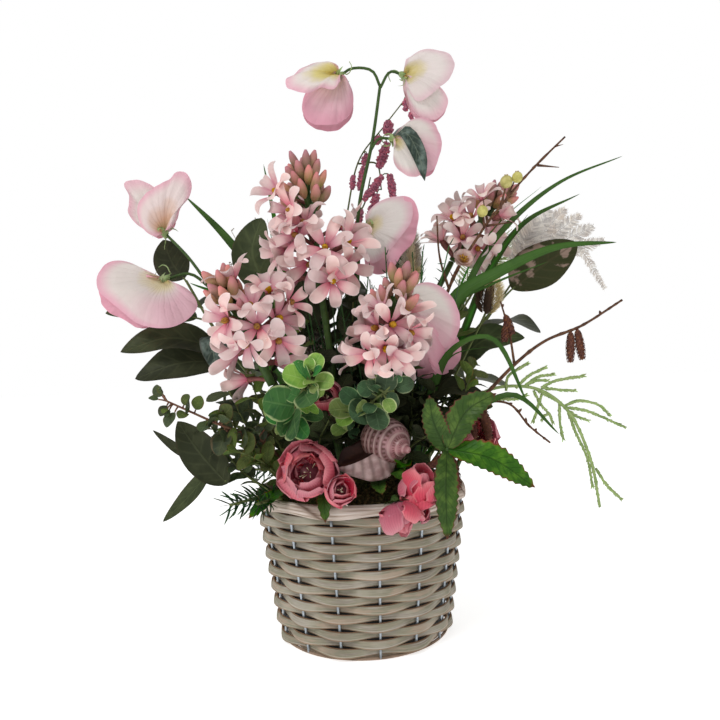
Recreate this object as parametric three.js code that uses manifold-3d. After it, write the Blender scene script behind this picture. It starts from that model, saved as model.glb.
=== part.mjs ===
// A basket of artificial flowers and foliage, filled all round.
// Millimetres, +Z up, origin at the middle of the base board's underside, front towards -Y.
import * as THREE from 'three';
import { mergeVertices } from 'three/addons/utils/BufferGeometryUtils.js';
import Module from 'manifold-3d';

const wasm = await Module();
wasm.setup();

// Basket
const WIRES = 15;
const WIRE_PHASE = THREE.MathUtils.degToRad(8.65);
const WIRE_RADIUS = 1.2;
const WIRE_FOOT = 0.45;
const WIRE_TOP = 116.8;
const FOOT_RADIUS = 73.2;
const RIM_RADIUS = 90;
const RIM_HEIGHT = 121;
const WEAVE_TURNS = 16;
const WEAVE_BOTTOM = 3.4;
const WEAVE_PITCH = 7.09;
const STRIP_HEIGHT = 6.65;
const STRIP_THICKNESS = 1.5;
const STRIP_SWING = 2.45;
const BOARD_RADIUS = 69.5;
const BOARD_HEIGHT = 5.5;
const RIM_LOW = 117.4;
const RIM_SHOULDER = 122;
const RIM_CREST = 126.4;
const RIM_SWELL = 0.5;
const LINER_TOP = 116;
const LINER_WALL = 1.2;
const LINER_INSET = 4.1;
const FOAM_INSET = 6.5;
const FOAM_TOP = 100;
const MOSS_RADIUS = 80.5;
const MOSS_EDGE = 121;
const MOSS_RISE = 42;

// Segments round the turned pieces
const BOARD_SEGMENTS = 24;
const LINER_SEGMENTS = 18;
const FOAM_SEGMENTS = 16;
const MOSS_SEGMENTS = 12;

// Stalks thinner than this have three sides, the others four
const THIN_STALK = 1.9;
const GOLDEN_ANGLE = 2.39996;
// Directions that no stalk follows, for setting a stalk's sides
const AWAY = [0.31, 0.87, 0.38];
const ASKEW = [0.23, 0.41, 0.88];

// Depth of the stems' feet: in the foam, or in the moss alone
const DEEP = 78;
const SHALLOW = 106;

// Thickness of a leaf along its rib
const LEAF_THICKNESS = 1.6;

// Clearances
const GAP = 0.35;
const SCRAP = 0.08;

const colour = {
  willow: 0xb9ae9c,
  rim: 0xd8d2c6,
  wire: 0xaab0b5,
  board: 0x9a8d7b,
  liner: 0x24211e,
  foam: 0x3c4a2c,
  moss: 0x4a4228,
  blush: 0xf0bcc0,
  coral: 0xd9737f,
  pea: 0xf6d3d6,
  stem: 0x5f7d3c,
  twig: 0x5a3b28,
  dark: 0x2f4434,
  leaf: 0x3f7a34,
  grass: 0x4c8a3c,
  eucalyptus: 0x5d8a58,
  grey: 0x7f9483,
  pale: 0xb4c88e,
  white: 0xeeece2,
  magenta: 0xa84a72,
  statice: 0xa79a90,
  cream: 0xd8c48e,
  shell: 0xb98f98,
};

const v = (x, y, z) => new THREE.Vector3(x, y, z);
const up = v(0, 0, 1);
const basketRadius = (z) => FOOT_RADIUS + ((RIM_RADIUS - FOOT_RADIUS) * z) / RIM_HEIGHT;
const polar = (radius, angle, z) => v(radius * Math.sin(angle), -radius * Math.cos(angle), z);

// A repeatable draw between low and high
function draws(seed) {
  let state = seed >>> 0;
  return (low, high) => {
    state = (Math.imul(state, 1664525) + 1013904223) >>> 0;
    return low + ((high - low) * state) / 4294967296;
  };
}

// A solid from points and triangles, turned so that its faces point out
function solid(points, faces) {
  let volume = 0;
  for (const [a, b, c] of faces) {
    volume += points[a].dot(points[b].clone().cross(points[c]));
  }
  const ordered = volume < 0 ? faces.map(([a, b, c]) => [a, c, b]) : faces;
  return new wasm.Manifold(new wasm.Mesh({
    numProp: 3,
    vertProperties: Float32Array.from(points.flatMap((p) => [p.x, p.y, p.z])),
    triVerts: Uint32Array.from(ordered.flat()),
  }));
}

// A solid from one of three's closed geometries
function fromGeometry(geometry) {
  geometry.deleteAttribute('normal');
  geometry.deleteAttribute('uv');
  const merged = mergeVertices(geometry, 1e-4);
  const place = merged.attributes.position;
  const corner = (_, i) => v(place.getX(i), place.getY(i), place.getZ(i));
  const points = Array.from({ length: place.count }, corner);
  const faces = [];
  for (let i = 0; i < merged.index.count; i += 3) {
    faces.push([merged.index.getX(i), merged.index.getX(i + 1), merged.index.getX(i + 2)]);
  }
  return solid(points, faces);
}

// Rings of points joined side by side, closed by a point at each end or into a hoop.
// The second half of a ring is split the other way, so that both faces of a thin blade are split alike.
function loft(rings, start, end) {
  const count = rings[0].length;
  const points = rings.flat();
  const faces = [];
  const hoop = !start;
  const spans = hoop ? rings.length : rings.length - 1;
  for (let r = 0; r < spans; r += 1) {
    const next = (r + 1) % rings.length;
    for (let i = 0; i < count; i += 1) {
      const j = (i + 1) % count;
      const [a, b, c, d] = [r * count + i, r * count + j, next * count + j, next * count + i];
      if (i < count / 2) {
        faces.push([a, b, c], [a, c, d]);
      } else {
        faces.push([a, b, d], [b, c, d]);
      }
    }
  }
  if (!hoop) {
    const last = (rings.length - 1) * count;
    points.push(start, end);
    for (let i = 0; i < count; i += 1) {
      const j = (i + 1) % count;
      faces.push([points.length - 2, j, i]);
      faces.push([points.length - 1, last + i, last + j]);
    }
  }
  return solid(points, faces);
}

// A thin body on both sides of a sheet of points: thick along its ribs, sharp or thick at its edge loop
function slab(points, normals, faces, loop, thickness, edge) {
  const rim = new Set(edge > 0 ? [] : loop);
  const both = [];
  const placed = [thickness / 2, -thickness / 2].map((rise) => points.map((p, i) => {
    if (rim.has(i)) {
      if (rise < 0) {
        return -1;
      }
      both.push(p.clone());
    } else {
      both.push(p.clone().addScaledVector(normals[i], rise));
    }
    return both.length - 1;
  }));
  const above = (i) => placed[0][i];
  const below = (i) => (placed[1][i] < 0 ? placed[0][i] : placed[1][i]);
  const all = faces.map(([a, b, c]) => [above(a), above(b), above(c)]);
  faces.forEach(([a, b, c]) => all.push([below(a), below(c), below(b)]));
  if (edge > 0) {
    loop.forEach((a, k) => {
      const b = loop[(k + 1) % loop.length];
      all.push([above(a), below(a), below(b)]);
      all.push([above(a), below(b), above(b)]);
    });
  }
  return solid(both, all);
}

const curveOf = (places) => new THREE.CatmullRomCurve3(places.map((p) => v(...p)), false, 'centripetal');

// Side and face directions at a share of a curve's length
function frameAt(curve, share, face) {
  const along = curve.getTangentAt(share);
  const side = along.clone().cross(face).normalize();
  const normal = side.clone().cross(along).normalize();
  return { place: curve.getPointAt(share), along, side, normal };
}

// A stalk with a ring at each of its places, thinning from the first radius to the second
function stalk(places, first, last, { sides = first < THIN_STALK ? 3 : 4, grow = 0 } = {}) {
  const spots = places.map((p) => v(...p));
  const count = spots.length - 1;
  const heading = (s) => spots[Math.min(s + 1, count)].clone().sub(spots[Math.max(s - 1, 0)]).normalize();
  let side = heading(0).cross(v(...AWAY)).normalize();
  const rings = spots.map((place, s) => {
    const along = heading(s);
    side = side.clone().addScaledVector(along, -side.dot(along)).normalize();
    const other = along.clone().cross(side);
    const radius = THREE.MathUtils.lerp(first, last, s / count) + grow;
    return Array.from({ length: sides }, (_, i) => {
      const turn = (2 * Math.PI * i) / sides;
      return place.clone()
        .addScaledVector(side, radius * Math.cos(turn))
        .addScaledVector(other, radius * Math.sin(turn));
    });
  });
  const start = spots[0].clone().addScaledVector(heading(0), -first * 0.3 - grow);
  const end = spots[count].clone().addScaledVector(heading(count), last * 0.5 + grow);
  return loft(rings, start, end);
}

// A three-sided spike that stands out of what it is sunk into
function spike(from, to, radius, grow = 0) {
  const along = v(...to).sub(v(...from)).normalize();
  const side = along.clone().cross(v(...AWAY)).normalize();
  const other = along.clone().cross(side);
  const third = (2 * Math.PI) / 3;
  const foot = [0, 1, 2].map((i) => v(...from)
    .addScaledVector(side, (radius + 2 * grow) * Math.cos(third * i))
    .addScaledVector(other, (radius + 2 * grow) * Math.sin(third * i)));
  const tip = v(...to).addScaledVector(along, grow * 4);
  return solid([...foot, tip], [[0, 1, 2], [0, 3, 1], [1, 3, 2], [2, 3, 0]]);
}

// Half widths of a blade at shares of its length
const OUTLINE = {
  leaf: [[0.04, 0.16], [0.34, 0.9], [0.74, 0.78]],
  round: [[0.36, 0.84], [0.76, 0.88]],
  petal: [[0.3, 0.7], [0.8, 0.95]],
  fan: [[0.03, 0.2], [0.3, 0.75], [0.62, 1], [0.9, 0.72]],
  ribbon: [[0.01, 0.5], [0.25, 0.85], [0.5, 1], [0.72, 0.8], [0.9, 0.4]],
};

// A blade along a list of places, thick along its rib and sharp at its edges, which rise by the fold
function blade(places, half, face, options = {}) {
  const { outline = 'leaf', fold = 0.2, thickness = LEAF_THICKNESS, grow = 0 } = options;
  const curve = curveOf(places);
  const thick = thickness / 2 + grow;
  const rings = OUTLINE[outline].map(([share, width]) => {
    const { place, side, normal } = frameAt(curve, share, face);
    const wide = half * width + grow;
    const lift = half * width * fold;
    const point = (across, rise) => place.clone()
      .addScaledVector(side, across)
      .addScaledVector(normal, rise);
    if (grow === 0) {
      return [point(-wide, lift), point(0, thick), point(wide, lift), point(0, -thick)];
    }
    return [
      point(-wide, lift + grow), point(0, thick), point(wide, lift + grow),
      point(wide, lift - grow), point(0, -thick), point(-wide, lift - grow),
    ];
  });
  const start = curve.getPointAt(0).addScaledVector(curve.getTangentAt(0), -grow);
  const end = curve.getPointAt(1).addScaledVector(curve.getTangentAt(1), grow);
  return loft(rings, start, end);
}

// A leaf whose edges are cut into pointed teeth, from shallow saw teeth to leaflets cut to the rib
function cutLeaf(places, half, face, { teeth, depth, lean = 0.7, fold = 0.2, grow = 0 }) {
  const curve = curveOf(places);
  const points = [];
  const normals = [];
  const faces = [];
  const put = (share, across) => {
    const { place, side, normal } = frameAt(curve, Math.min(share, 1), face);
    const reach = across + Math.sign(across) * grow;
    points.push(place.addScaledVector(side, reach).addScaledVector(normal, Math.abs(reach) * fold));
    normals.push(normal);
    return points.length - 1;
  };
  const envelope = (share) => half * (0.2 + 0.8 * Math.sin(Math.PI * Math.min(1, share * 1.02) ** 0.8));
  const spine = [];
  const edges = [[], []];
  for (let t = 0; t <= teeth; t += 1) {
    const share = t / teeth;
    const notch = t === teeth ? 0.5 : Math.max(0.7, envelope(share) * (1 - depth));
    spine.push(put(share, 0));
    edges[0].push(put(share, -notch));
    edges[1].push(put(share, notch));
    if (t < teeth) {
      const tip = envelope(share + 0.5 / teeth);
      edges[0].push(put(share + lean / teeth, -tip));
      edges[1].push(put(share + lean / teeth, tip));
    }
  }
  for (let t = 0; t < teeth; t += 1) {
    edges.forEach((edge, k) => {
      const [low, tip, high] = edge.slice(2 * t, 2 * t + 3);
      const triangles = [[spine[t], low, tip], [spine[t], tip, spine[t + 1]], [spine[t + 1], tip, high]];
      triangles.forEach(([a, b, c]) => faces.push(k ? [a, b, c] : [a, c, b]));
    });
  }
  const loop = [spine[0], ...edges[1], spine[teeth], ...edges[0].reverse()];
  return slab(points, normals, faces, loop, LEAF_THICKNESS + 2 * grow, grow);
}

// A lobed dish around an axis: a sharp rim of given radius and rise, a hollow middle,
// and behind it a root of given depth or one that ends at the apex
function dish(center, axis, rim, { apex, root = 0, sink = 0, grow = 0, twist = 0 }) {
  const along = axis.clone().normalize();
  const helper = Math.abs(along.z) > 0.9 ? v(0, 1, 0) : up;
  const side = along.clone().cross(helper).normalize();
  const other = along.clone().cross(side);
  const half = LEAF_THICKNESS / 2 + grow;
  const at = (radius, angle, rise) => center.clone()
    .addScaledVector(side, radius * Math.cos(angle))
    .addScaledVector(other, radius * Math.sin(angle))
    .addScaledVector(along, rise);
  const count = rim.length;
  const points = rim.map(([angle, radius, rise]) => at(radius + grow, angle + twist, rise + grow));
  if (grow > 0) {
    rim.forEach(([angle, radius, rise]) => points.push(at(radius + grow, angle + twist, rise - grow)));
  }
  const lower = grow > 0 ? count : 0;
  const middle = points.length;
  points.push(at(0, 0, half - sink), apex ? apex.clone() : at(0, 0, -half - sink - root));
  const faces = [];
  for (let i = 0; i < count; i += 1) {
    const j = (i + 1) % count;
    faces.push([middle, i, j], [middle + 1, lower + j, lower + i]);
    if (grow > 0) {
      faces.push([i, count + i, count + j], [i, count + j, j]);
    }
  }
  return solid(points, faces);
}

// Rim of a dish with several lobes: blunt ones with two corners, or pointed ones where the spread is 0
function lobes(count, outer, inner, rise, spread) {
  const step = (2 * Math.PI) / count;
  const turns = spread > 0 ? [-spread, spread] : [0];
  const rim = [];
  for (let k = 0; k < count; k += 1) {
    rim.push([k * step, inner, rise * 0.5]);
    turns.forEach((turn) => rim.push([step * (k + 0.5 + turn), outer, rise]));
  }
  return rim;
}

// A bud or bead: two pointed ends and one or more rings between
function bud(from, to, radius, { sides = 4, grow = 0, waist = [0.45] } = {}) {
  const line = curveOf([from, to]);
  const rings = waist.map((share) => {
    const { place, along, side } = frameAt(line, share, v(...ASKEW));
    const other = along.clone().cross(side);
    return Array.from({ length: sides }, (_, i) => {
      const turn = (2 * Math.PI * i) / sides;
      return place.clone()
        .addScaledVector(side, (radius + grow) * Math.cos(turn))
        .addScaledVector(other, (radius + grow) * Math.sin(turn));
    });
  });
  const start = v(...from).addScaledVector(line.getTangentAt(0), -grow);
  const end = v(...to).addScaledVector(line.getTangentAt(1), grow);
  return loft(rings, start, end);
}

const plus = (place, direction, length) => place.clone().addScaledVector(direction, length);
const list = (place) => [place.x, place.y, place.z];

// Directions spread evenly round an axis, from the share low to the share high of its length
function around(axis, index, count, low, high, tilt) {
  const share = low + ((high - low) * (index + 0.5)) / count;
  const along = axis.clone().normalize();
  const side = along.clone().cross(v(...AWAY)).normalize();
  const other = along.clone().cross(side);
  const turn = index * GOLDEN_ANGLE;
  const out = side.multiplyScalar(Math.cos(turn)).addScaledVector(other, Math.sin(turn));
  return { share, out, direction: plus(out.clone().multiplyScalar(Math.cos(tilt)), along, Math.sin(tilt)) };
}

// Basket pieces
function baseBoard() {
  const profile = [[0, 0], [BOARD_RADIUS, 0], [BOARD_RADIUS, BOARD_HEIGHT], [0, BOARD_HEIGHT]];
  const turned = new THREE.LatheGeometry(profile.map(([r, z]) => new THREE.Vector2(r, z)), BOARD_SEGMENTS);
  return [fromGeometry(turned.rotateX(Math.PI / 2))];
}

// Upright wires grow out of a hoop of the same wire, both square in section
function wireFrame(grow) {
  const half = WIRE_RADIUS + grow;
  const low = WIRE_FOOT - grow;
  const high = WIRE_FOOT + 2 * WIRE_RADIUS + grow;
  const top = WIRE_TOP + grow;
  const points = [];
  const faces = [];
  const quad = (a, b, c, d) => faces.push([a, b, c], [a, c, d]);
  const sides = 2 * WIRES;
  for (let k = 0; k < sides; k += 1) {
    const wire = Math.floor(k / 2);
    const spread = (k % 2 === 0 ? -half : half) / FOOT_RADIUS;
    const angle = WIRE_PHASE + (2 * Math.PI * wire) / WIRES + spread;
    points.push(polar(FOOT_RADIUS - half, angle, low), polar(FOOT_RADIUS + half, angle, low));
    points.push(polar(FOOT_RADIUS + half, angle, high), polar(FOOT_RADIUS - half, angle, high));
    const topAngle = angle - spread + (spread * FOOT_RADIUS) / basketRadius(top);
    [half, -half].forEach((out) => points.push(polar(basketRadius(top) + out, topAngle, top)));
  }
  for (let k = 0; k < sides; k += 1) {
    const a = 6 * k;
    const b = 6 * ((k + 1) % sides);
    quad(a, b, b + 1, a + 1);
    quad(a + 1, b + 1, b + 2, a + 2);
    quad(a + 3, b + 3, b, a);
    if (k % 2 === 1) {
      quad(a + 2, b + 2, b + 3, a + 3);
    } else {
      quad(a + 2, b + 2, b + 4, a + 4);
      quad(a + 4, b + 4, b + 5, a + 5);
      quad(a + 5, b + 5, b + 3, a + 3);
      quad(a + 3, a + 2, a + 4, a + 5);
      quad(b + 2, b + 3, b + 5, b + 4);
    }
  }
  return [solid(points, faces)];
}

// One flat strip winds round the wires, in front of one and behind the next, and steps up at the back
function willowWeave(grow) {
  const stops = WIRES * WEAVE_TURNS;
  const rings = [];
  const half = STRIP_THICKNESS / 2 + grow;
  const stepShare = 0.14;
  for (let k = 0; k <= stops; k += 1) {
    const turns = (k - WIRES / 2) / WIRES + 0.5;
    const whole = Math.floor(turns);
    const climb = THREE.MathUtils.smoothstep(turns - whole, 1 - stepShare, 1);
    const low = WEAVE_BOTTOM + WEAVE_PITCH * Math.min(whole + climb, WEAVE_TURNS - 1) - grow;
    const high = low + STRIP_HEIGHT + 2 * grow;
    const angle = WIRE_PHASE + Math.PI + (2 * Math.PI * (k + 0.5)) / WIRES;
    const swing = k % 2 === 0 ? STRIP_SWING : -STRIP_SWING;
    rings.push([
      polar(basketRadius(low) + swing + half, angle, low),
      polar(basketRadius(high) + swing + half, angle, high),
      polar(basketRadius(high) + swing - half, angle, high),
      polar(basketRadius(low) + swing - half, angle, low),
    ]);
  }
  const middle = (ring) => ring.reduce((sum, p) => sum.add(p), v(0, 0, 0)).multiplyScalar(0.25);
  return [loft(rings, middle(rings[0]), middle(rings[stops]))];
}

// Border bent over the top of the weave, with a lower edge that rises and falls between the wires
function rimBorder(grow) {
  const stops = 2 * WIRES;
  const rings = [];
  for (let k = 0; k < stops; k += 1) {
    const angle = WIRE_PHASE + (2 * Math.PI * k) / stops;
    const swell = k % 2 === 0 ? RIM_SWELL : -RIM_SWELL;
    const low = RIM_LOW - grow + (k % 2 === 0 ? 0 : 1);
    rings.push([
      polar(RIM_RADIUS + 2.4 + swell + grow, angle, low),
      polar(RIM_RADIUS + 3 + swell + grow, angle, RIM_SHOULDER),
      polar(RIM_RADIUS - 0.6 + swell, angle, RIM_CREST + grow),
      polar(RIM_RADIUS - 2.8 - grow, angle, low),
    ]);
  }
  return [loft(rings)];
}

function liner() {
  const bottom = BOARD_HEIGHT + GAP;
  const outer = (z) => basketRadius(z) - LINER_INSET;
  const profile = [
    [0, bottom], [outer(bottom), bottom], [outer(LINER_TOP), LINER_TOP],
    [outer(LINER_TOP) - LINER_WALL, LINER_TOP], [outer(bottom) - LINER_WALL, bottom + LINER_WALL],
    [0, bottom + LINER_WALL],
  ];
  const turned = new THREE.LatheGeometry(profile.map(([r, z]) => new THREE.Vector2(r, z)), LINER_SEGMENTS);
  return [fromGeometry(turned.rotateX(Math.PI / 2))];
}

function foamBlock() {
  const bottom = BOARD_HEIGHT + LINER_WALL + 2 * GAP;
  const outer = (z) => basketRadius(z) - FOAM_INSET;
  const profile = [[0, bottom], [outer(bottom), bottom], [outer(FOAM_TOP), FOAM_TOP], [0, FOAM_TOP]];
  const turned = new THREE.LatheGeometry(profile.map(([r, z]) => new THREE.Vector2(r, z)), FOAM_SEGMENTS);
  return [fromGeometry(turned.rotateX(Math.PI / 2))];
}

// Height of the moss above a place in the basket
function mossHeight(x, y) {
  const share = Math.min(1, Math.hypot(x, y) / MOSS_RADIUS);
  const lumps = 2.2 * Math.sin(x * 0.11 + 1) * Math.cos(y * 0.13) * (1 - share ** 4);
  return MOSS_EDGE + MOSS_RISE * (1 - share * share) ** 0.85 + lumps;
}

function mossMound() {
  const bottom = FOAM_TOP + GAP;
  const ring = (radius, height) => Array.from({ length: MOSS_SEGMENTS }, (_, i) => {
    const place = polar(radius, (2 * Math.PI * i) / MOSS_SEGMENTS, 0);
    return place.setZ(height(place.x, place.y));
  });
  const rings = [
    ring(MOSS_RADIUS, () => bottom),
    ...[1, 0.76, 0.4].map((share) => ring(MOSS_RADIUS * share, mossHeight)),
  ];
  return [loft(rings, v(0, 0, bottom), v(0, 0, mossHeight(0, 0)))];
}

// Heads of star florets: foot and top of the head's axis, its reach and the floret's size
const STAR_HEADS = [
  { foot: [-27, -48, 300], top: [-39, -42, 405], reach: 29, floret: 20, florets: 7, seed: 11,
    stem: [[-16, -30, DEEP], [-17, -36, 190], [-22, -44, 250], [-27, -48, 296]] },
  { foot: [-66, -84, 222], top: [-102, -96, 306], reach: 24, floret: 18, florets: 6, seed: 23,
    stem: [[-32, -40, DEEP], [-40, -50, 166], [-54, -68, 196], [-65, -82, 218]] },
  { foot: [18, -90, 226], top: [38, -90, 300], reach: 22, floret: 17, florets: 6, seed: 37,
    stem: [[18, -30, DEEP], [18, -36, 168], [18, -60, 198], [18, -89, 224.4]] },
  { foot: [96, 32, 330], top: [150, 32, 396], reach: 24, floret: 18, florets: 6, seed: 41,
    stem: [[28, 12, DEEP], [45, 18, 190], [72, 26, 285], [94, 31.5, 327]] },
];

// Star florets with a funnel sunk into a slim core, and buds above them
function starHead({ foot, top, reach, floret, florets, seed }, grow) {
  const draw = draws(seed);
  const from = v(...foot);
  const axis = v(...top).sub(from);
  const point = (share) => from.clone().addScaledVector(axis, share);
  const pieces = [stalk([foot, list(point(0.5)), list(point(0.94))], 7, 4, { sides: 5, grow })];
  for (let i = 0; i < florets; i += 1) {
    const { share, out, direction } = around(axis, i, florets, 0.06, 0.6, draw(0.1, 0.5));
    const face = plus(direction, v(0, -1, 0.1), 0.25).normalize();
    const center = plus(point(share), out, reach * draw(0.85, 1.1));
    const size = floret * draw(0.9, 1.08);
    const rim = lobes(6, size * 1.06, size * 0.42, size * 0.2, 0);
    const apex = plus(point(share), out, 3);
    pieces.push(dish(center, face, rim, { apex, sink: size * 0.1, grow, twist: draw(0, 1) }));
  }
  const budCount = 7;
  for (let i = 0; i < budCount; i += 1) {
    const { share, out, direction } = around(axis, i, budCount, 0.66, 0.98, draw(0.5, 1));
    const root = point(share - 0.06);
    const rise = plus(out.multiplyScalar(0.7), direction, 0.8).normalize();
    const tip = plus(root, rise, draw(15, 20) * (1.25 - share * 0.4));
    pieces.push(bud(list(root), list(tip), draw(4.2, 5.2), { sides: 3, grow, waist: [0.66] }));
  }
  return pieces;
}

const starStem = ({ stem }, grow) => [stalk(stem, 3, 2.8, { grow })];

// Sweet pea blooms: base at the calyx, then the broad back petal and the pouch of two wings below it,
// each with the way it grows, the way its outer face looks, its reach and its half width
const SWEET_PEAS = [
  {
    base: [-4, -5, 488],
    standard: { axis: [-0.9, -0.2, -0.3], face: [-0.3, -0.6, 0.75], reach: 50, half: 26 },
    wings: { axis: [-0.22, -0.1, -0.97], face: [0.1, -1, 0], reach: 46, half: 23 },
  },
  {
    base: [58, 5, 488],
    standard: { axis: [0.96, -0.15, -0.2], face: [0.05, -0.98, 0.15], reach: 44, half: 33 },
    wings: { axis: [0.75, 0.25, -0.6], face: [0.1, -0.9, -0.2], reach: 34, half: 18 },
  },
  {
    base: [52, 2, 444],
    standard: { axis: [0.55, -0.12, -0.8], face: [0.15, -0.98, 0.05], reach: 42, half: 23 },
    wings: { axis: [0.12, 0.12, -0.98], face: [0, -1, 0], reach: 38, half: 14 },
  },
  {
    base: [-159, -14, 355],
    standard: { axis: [-0.5, 0.2, 0.84], face: [-0.3, 0.9, -0.1], reach: 50, half: 24 },
    wings: { axis: [0.3, -0.18, 0.94], face: [0.1, -0.95, -0.2], reach: 48, half: 24 },
  },
  {
    base: [-156, -36, 317],
    standard: { axis: [-0.5, -0.3, -0.8], face: [-0.1, -0.85, 0.4], reach: 44, half: 50 },
    wings: { axis: [-0.72, -0.1, -0.55], face: [-0.35, -0.85, -0.3], reach: 56, half: 25 },
  },
  {
    base: [10, -27, 350],
    standard: { axis: [0.9, -0.2, -0.2], face: [-0.1, -0.95, 0.25], reach: 49, half: 37 },
    wings: { axis: [0.62, -0.2, -0.72], face: [0.1, -0.95, -0.15], reach: 48, half: 24 },
  },
  {
    base: [52, -42, 294],
    standard: { axis: [0.72, -0.2, -0.6], face: [0.1, -0.95, 0.2], reach: 46, half: 36 },
    wings: { axis: [0.3, -0.1, -0.94], face: [0.1, -0.98, 0], reach: 64, half: 25 },
  },
];

// How far a bloom's base sits in the cup of its calyx, the arch of its back petal for each unit of reach,
// and the depth of its pouch for each unit of half width
const BLOOM_SEAT = 1;
const PETAL_ARCH = 0.16;
const POUCH_DEPTH = 0.8;

// Which way a bloom grows out of its calyx
function growth({ standard, wings }) {
  return v(...standard.axis).normalize().add(v(...wings.axis).normalize()).normalize();
}

// A petal's path from the base, arched towards its outer face
function petalPath(start, { axis, face, reach }, arch) {
  const along = v(...axis).normalize();
  const out = v(...face);
  out.addScaledVector(along, -out.dot(along)).normalize();
  const rise = [0, 0.8, 1, 0.3].map((share) => share * arch * reach);
  const spine = [0, 0.32, 0.66, 1].map((share) => plus(start, along, reach * share));
  return { path: spine.map((place, i) => list(plus(place, out, rise[i]))), out };
}

function sweetPea(bloom, grow) {
  const { base, standard, wings } = bloom;
  const start = plus(v(...base), growth(bloom), -BLOOM_SEAT);
  const back = petalPath(start, standard, PETAL_ARCH);
  const pouch = petalPath(start, wings, 0);
  const thickness = wings.half * POUCH_DEPTH;
  return [
    blade(back.path, standard.half, back.out, { outline: 'fan', fold: -0.3, grow }),
    blade(pouch.path, wings.half, pouch.out, { outline: 'petal', fold: 0, thickness, grow }),
    bud(list(start), list(plus(start, growth(bloom), 15)), 3.6, { grow }),
  ];
}

// Green calyx behind a bloom: a small cup with five teeth
function calyx(bloom, grow) {
  const front = growth(bloom);
  return dish(plus(v(...bloom.base), front, -1.5), front, lobes(5, 6.5, 3.4, 2, 0), { root: 3.5, grow });
}

const PEA_STEMS = {
  top: [
    {
      path: [[2, 6, DEEP], [2, 10, 200], [3, 10, 320], [8, 4, 377], [22, 2, 435], [31, 2, 486]],
      first: 2.4,
      last: 1.4,
    },
    { path: [[31, 2, 483], [24, -1, 497], [6, -4, 496], [-4, -5, 487]], first: 1.3, last: 1.2 },
    { path: [[31, 2, 483], [44, 3, 494], [59, 5, 488]], first: 1.3, last: 1.2 },
    { path: [[20, 2, 426], [34, 2, 440], [53, 1.5, 443]], first: 1.3, last: 1.2 },
  ],
  left: [
    { path: [[-34, -8, DEEP], [-46, -12, 164], [-82, -20, 240], [-124, -27, 306]], first: 2.2, last: 1.5 },
    { path: [[-122, -27, 303], [-140, -21, 332], [-159, -14, 355]], first: 1.4, last: 1.2 },
    { path: [[-121, -27, 302], [-138, -32, 318], [-157, -37, 316]], first: 1.4, last: 1.2 },
  ],
  middle: [{ path: [[7, -14, DEEP], [8, -17, 200], [4, -22, 300], [8, -25, 347]], first: 2, last: 1.3 }],
  right: [{ path: [[26, -18, DEEP], [30, -24, 180], [44, -34, 260], [51, -40, 294]], first: 2, last: 1.3 }],
};

const peaStem = (runs, blooms, grow) => [
  ...runs.map(({ path, first, last }) => stalk(path, first, last, { grow })),
  ...blooms.map((index) => calyx(SWEET_PEAS[index], grow)),
];

// Narrow mottled leaf that hangs beside the third bloom
const PEA_LEAF = [[40, 2, 440], [51, -9, 438], [62, -16, 414], [66, -16, 392]];
const peaLeaf = (grow) => blade(PEA_LEAF, 7, v(0, -1, 0.2), { grow });

// Ranunculus blooms: centre, facing, radius, and the places of a short stalk into the moss
const RANUNCULUS = [
  {
    center: [-39, -96, 154],
    face: [-0.12, -0.95, 0.22],
    radius: 22,
    stalk: [[-37, -82, 148], [-30, -58, SHALLOW]],
  },
  {
    center: [-14, -109, 142],
    face: [0.05, -0.9, 0.3],
    radius: 11,
    stalk: [[-14, -88, 138], [-13, -62, SHALLOW]],
  },
  {
    center: [42, -106, 149],
    face: [0.25, -0.85, 0.35],
    radius: 15,
    stalk: [[39, -90, 141], [33, -64, SHALLOW]],
  },
  {
    center: [29, -115, 124],
    face: [-0.25, -0.85, -0.35],
    radius: 14,
    stalk: [[25, -93, 132], [20, -66, SHALLOW]],
  },
  {
    center: [96, -46, 168],
    face: [0.45, -0.7, 0.45],
    radius: 20,
    stalk: [[86, -40, 154], [64, -30, SHALLOW]],
  },
  {
    center: [-25, -68, 208],
    face: [-0.05, -0.9, 0.4],
    radius: 13,
    stalk: [[-23, -58, 194], [-8, -44, SHALLOW]],
  },
];

function ranunculus({ center, face, radius, stalk: places }, grow) {
  const middle = v(...center);
  const axis = v(...face).normalize();
  const layers = [[6, 1, 0.3, 0.1, 0.17], [5, 0.78, 0.56, 0.75, 0.17], [5, 0.5, 0.66, 0.2, 0]];
  const used = radius > 20 ? layers : layers.slice(1);
  const pieces = used.map(([count, reach, rise, twist, spread]) => {
    const rim = lobes(count, radius * reach, radius * reach * 0.8, radius * rise, spread);
    const shape = { sink: radius * 0.05, root: radius * 0.2, grow, twist };
    return dish(plus(middle, axis, -radius * 0.3), axis, rim, shape);
  });
  const heart = [-0.5, 0.3].map((rise) => list(plus(middle, axis, radius * rise)));
  pieces.push(bud(...heart, radius * 0.24, { sides: 5, grow, waist: [0.6] }));
  pieces.push(stalk([list(plus(middle, axis, -radius * 0.38)), ...places], 2, 1.8, { grow }));
  return pieces;
}

// Sea shell: whorls that shrink towards the apex, spiral ribs, a flared mouth and a short canal
const SHELL = {
  mouth: [-8, -74, 157],
  apex: [36, -84, 169],
  radius: 24,
  hollow: [[-22, -104, 153], [10, -82, 163]],
  hollowRadius: 12,
};

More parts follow.
